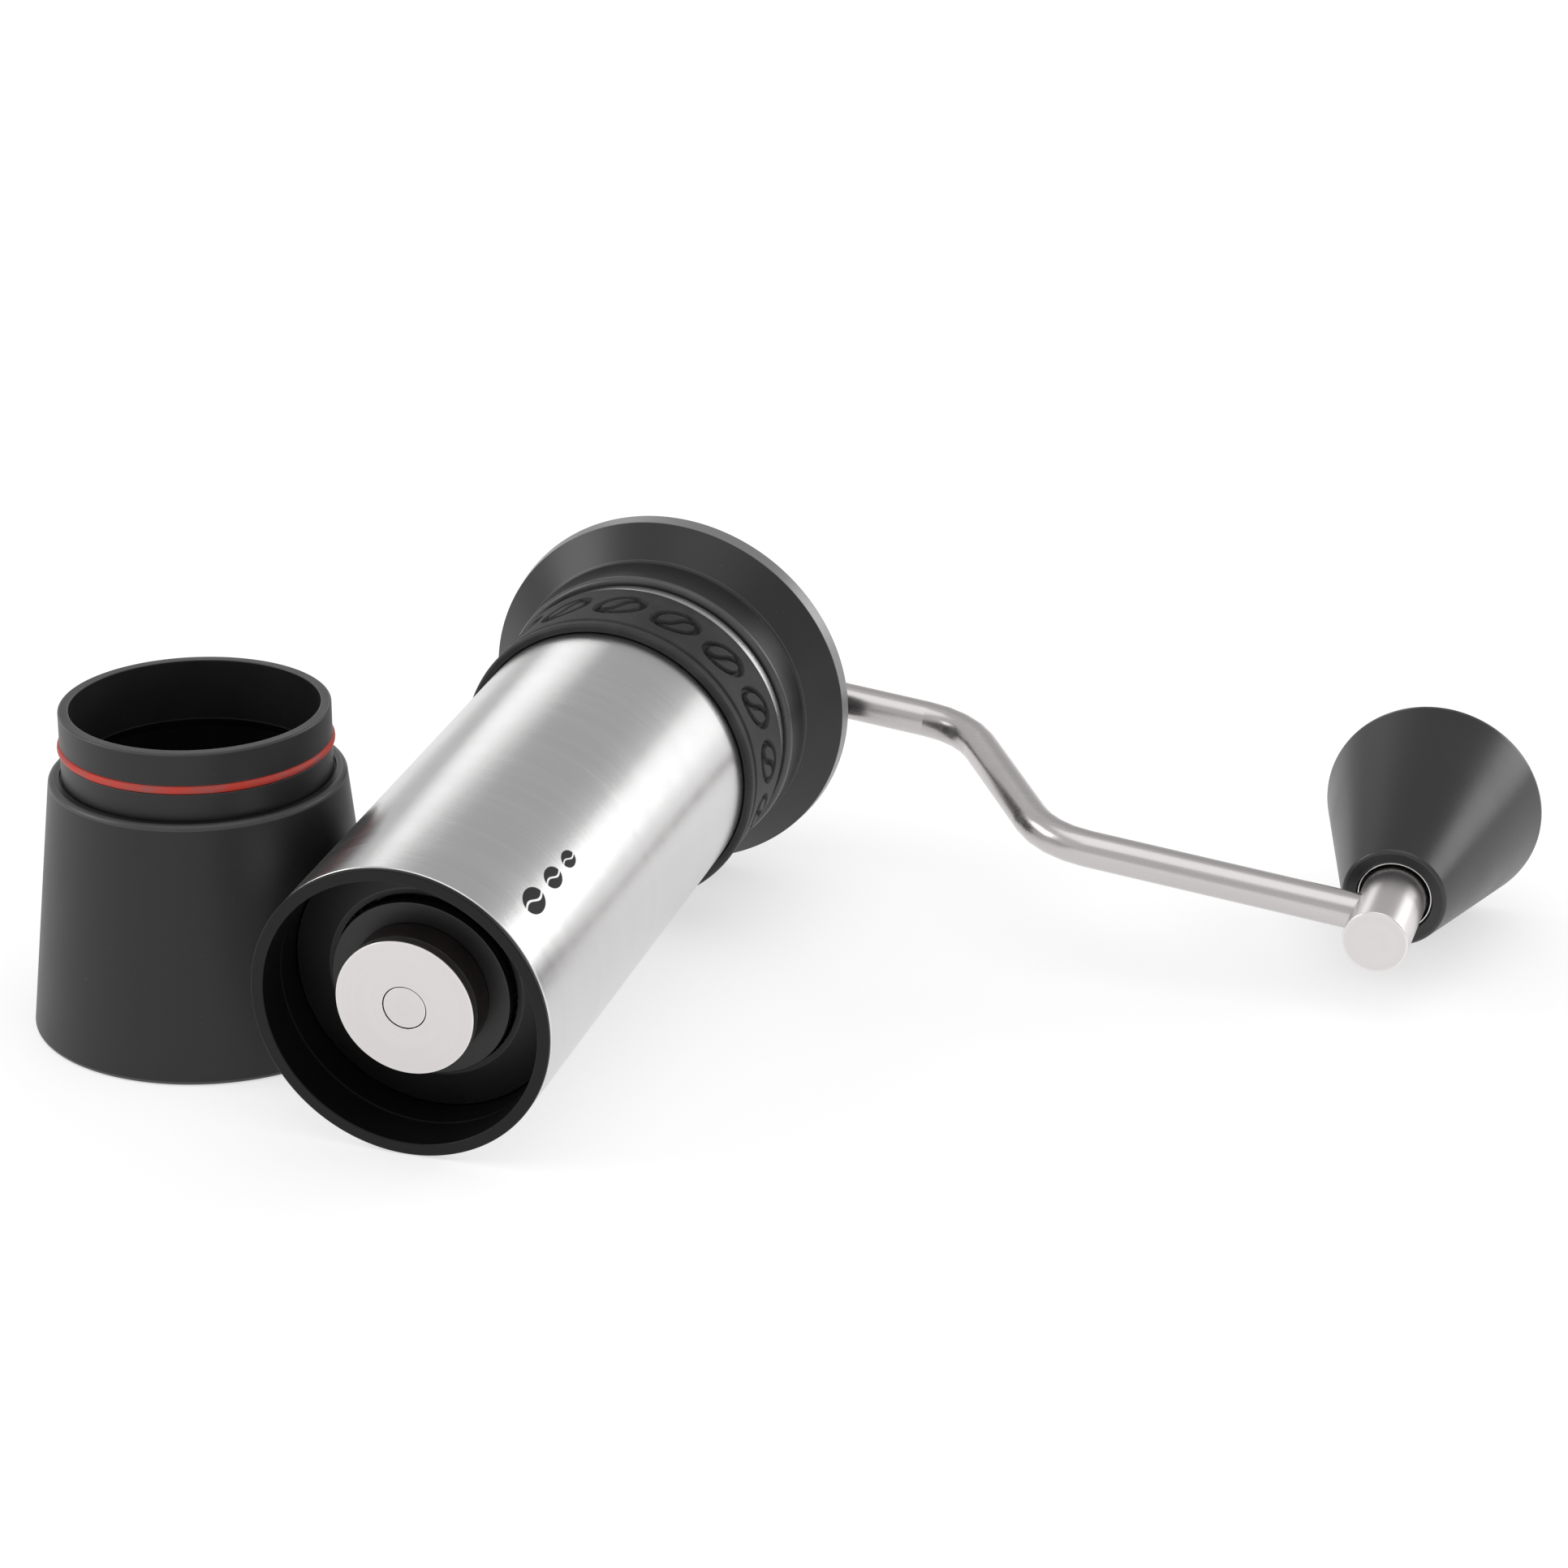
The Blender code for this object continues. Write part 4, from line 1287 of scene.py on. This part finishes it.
@dataclass(frozen=True)
class Softbox:
    """A plain rectangular light that faces the object."""

    name: str
    azimuth: float
    elevation: float
    distance: float
    width: float
    height: float
    radiance: float

    def build(self) -> None:
        """Stands at azimuth (degrees from +X towards +Y) and elevation, with power = radiance . pi . area."""
        turn_, rise = math.radians(self.azimuth), math.radians(self.elevation)
        way = Vector((math.cos(rise) * math.cos(turn_), math.cos(rise) * math.sin(turn_), math.sin(rise)))
        data = bpy.data.lights.new(self.name, "AREA")
        data.shape, data.size, data.size_y = "RECTANGLE", self.width, self.height
        data.energy = self.radiance * math.pi * self.width * self.height
        light = bpy.data.objects.new(self.name, data)
        light.location = way * self.distance
        light.rotation_euler = way.to_track_quat("Z", "Y").to_euler()
        bpy.context.scene.collection.objects.link(light)


@dataclass(frozen=True)
class Studio:
    """Pale floor, soft light, and the camera."""

    camera_at: tuple[float, float, float] = (-0.760889, -0.249598, 0.373697)
    heading: float = 0.314636
    tip: float = 0.387440
    roll: float = -0.003808
    lens: float = 99.187
    world: float = 0.66
    shade: float = 0.80
    floor: float = 0.50
    glow: float = 0.58
    patch_rise: float = 37.0
    patch_edge: float = 0.88
    patch_core: float = 0.97
    floor_size: float = 60.0

    def build(self) -> None:
        """Builds all of it."""
        scene = bpy.context.scene
        scene.view_settings.view_transform = "Standard"
        self.build_camera(scene)
        self.build_world(scene)
        self.build_floor(scene)
        for box in (Softbox("overhead", 200, 75, 1.9, 1.8, 1.8, 0.72),
                    Softbox("far_left", 27, 22, 1.6, 0.45, 0.50, 0.95),
                    Softbox("far_right", -30, 12, 1.6, 0.26, 0.62, 0.88),
                    Softbox("left", 112, 28, 1.6, 0.9, 0.7, 3.0),
                    Softbox("right", -50, 20, 1.6, 0.7, 0.7, 3.0)):
            box.build()

    def build_camera(self, scene: bpy.types.Scene) -> None:
        """Looks along heading (from +X towards +Y) and tip (below level), turned by roll."""
        turn_, tip, roll = self.heading, self.tip, self.roll
        ahead = np.array([math.cos(tip) * math.cos(turn_), math.cos(tip) * math.sin(turn_), -math.sin(tip)])
        right = np.array([math.sin(turn_), -math.cos(turn_), 0.0])
        down = np.cross(ahead, right)
        right, down = (math.cos(roll) * right + math.sin(roll) * down,
                       math.cos(roll) * down - math.sin(roll) * right)
        data = bpy.data.cameras.new("camera")
        data.lens, data.sensor_width, data.clip_start = self.lens, 36.0, 0.01
        camera = bpy.data.objects.new("camera", data)
        facing = Matrix([right, -down, -ahead]).transposed().to_4x4()
        camera.matrix_world = Matrix.Translation(self.camera_at) @ facing
        scene.collection.objects.link(camera)
        scene.camera = camera

    def build_world(self, scene: bpy.types.Scene) -> None:
        """A pale room, with world . shade in place of world in a soft patch up on its far side."""
        graph = RoomGraph("room")
        rise = math.radians(self.patch_rise)
        point = graph.node("ShaderNodeTexCoord").outputs["Generated"]
        near = graph.node("ShaderNodeVectorMath", {"operation": "DOT_PRODUCT"},
                          {0: point, 1: (math.cos(rise), 0.0, math.sin(rise))})
        patch = Value(graph, near.outputs["Value"]).step(self.patch_edge, self.patch_core)
        level = patch * (self.world * (self.shade - 1)) + self.world
        light = graph.node("ShaderNodeBackground", inputs={"Color": grey(1.0), "Strength": level})
        graph.node("ShaderNodeOutputWorld", inputs={"Surface": light.outputs[0]})
        scene.world = graph.world

    def build_floor(self, scene: bpy.types.Scene) -> None:
        """A wide flat sheet just under the pieces, with a matt finish."""
        half, under = self.floor_size / 2, -1e-4
        mesh = bpy.data.meshes.new("floor")
        corners = [(-half, -half, under), (half, -half, under), (half, half, under), (-half, half, under)]
        mesh.from_pydata(corners, [], [(0, 1, 2, 3)])
        graph = Graph("floor_paper")
        point = graph.node("ShaderNodeTexCoord").outputs["Object"]
        shade = graph.blend(graph.noise(point, 900.0, 2.0), grey(self.floor * 0.99),
                            grey(self.floor * 1.01))
        mesh.materials.append(graph.done(Base_Color=shade, Roughness=0.8, Specular_IOR_Level=0.2,
                                         Emission_Color=grey(1.0), Emission_Strength=self.glow))
        floor = bpy.data.objects.new("floor", mesh)
        scene.collection.objects.link(floor)


# ---------------------------------------------------------------- whole


def joint_axis(name: str, station: float) -> Axis:
    """Axis of a joint, with the joint's point at a station, and down as near the world's as it can be.

    Args:
        name: the joint.
        station: where on the grinder's axis its point lies, in millimetres.

    Returns:
        The axis.
    """
    joint = next(j for j in frame["joints"] if j["name"] == name)
    along = np.array(joint["axis"], float)
    along /= np.linalg.norm(along)
    origin = np.array(joint["pos_m"], float) - along * station * MM
    return Axis(origin, along, np.array([along[2], 0.0, -along[0]]))


def main() -> None:
    """Builds the sub-assemblies in order, then the studio."""
    logging.basicConfig(level=logging.INFO, format="%(message)s")
    still = joint_axis("dial_turn", 154.0)
    knob = joint_axis("knob_spin", 155.0)
    turning = still.turned(knob.origin - still.origin)
    low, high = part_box("catch_cup")
    upright = Axis(np.array([(low.x + high.x) / 2, (low.y + high.y) / 2, low.z]), np.array([0.0, 0.0, 1.0]),
                   np.array([1.0, 0.0, 0.0]))
    for assembly in (TubeShell(still), BurrSet(still, turning), HopperEnd(still), Crank(turning, knob),
                     Knob(knob), CatchCup(upright)):
        assembly.build()
    dress_hidden(still, turning, knob)
    Studio().build()


if __name__ == "__main__":
    main()
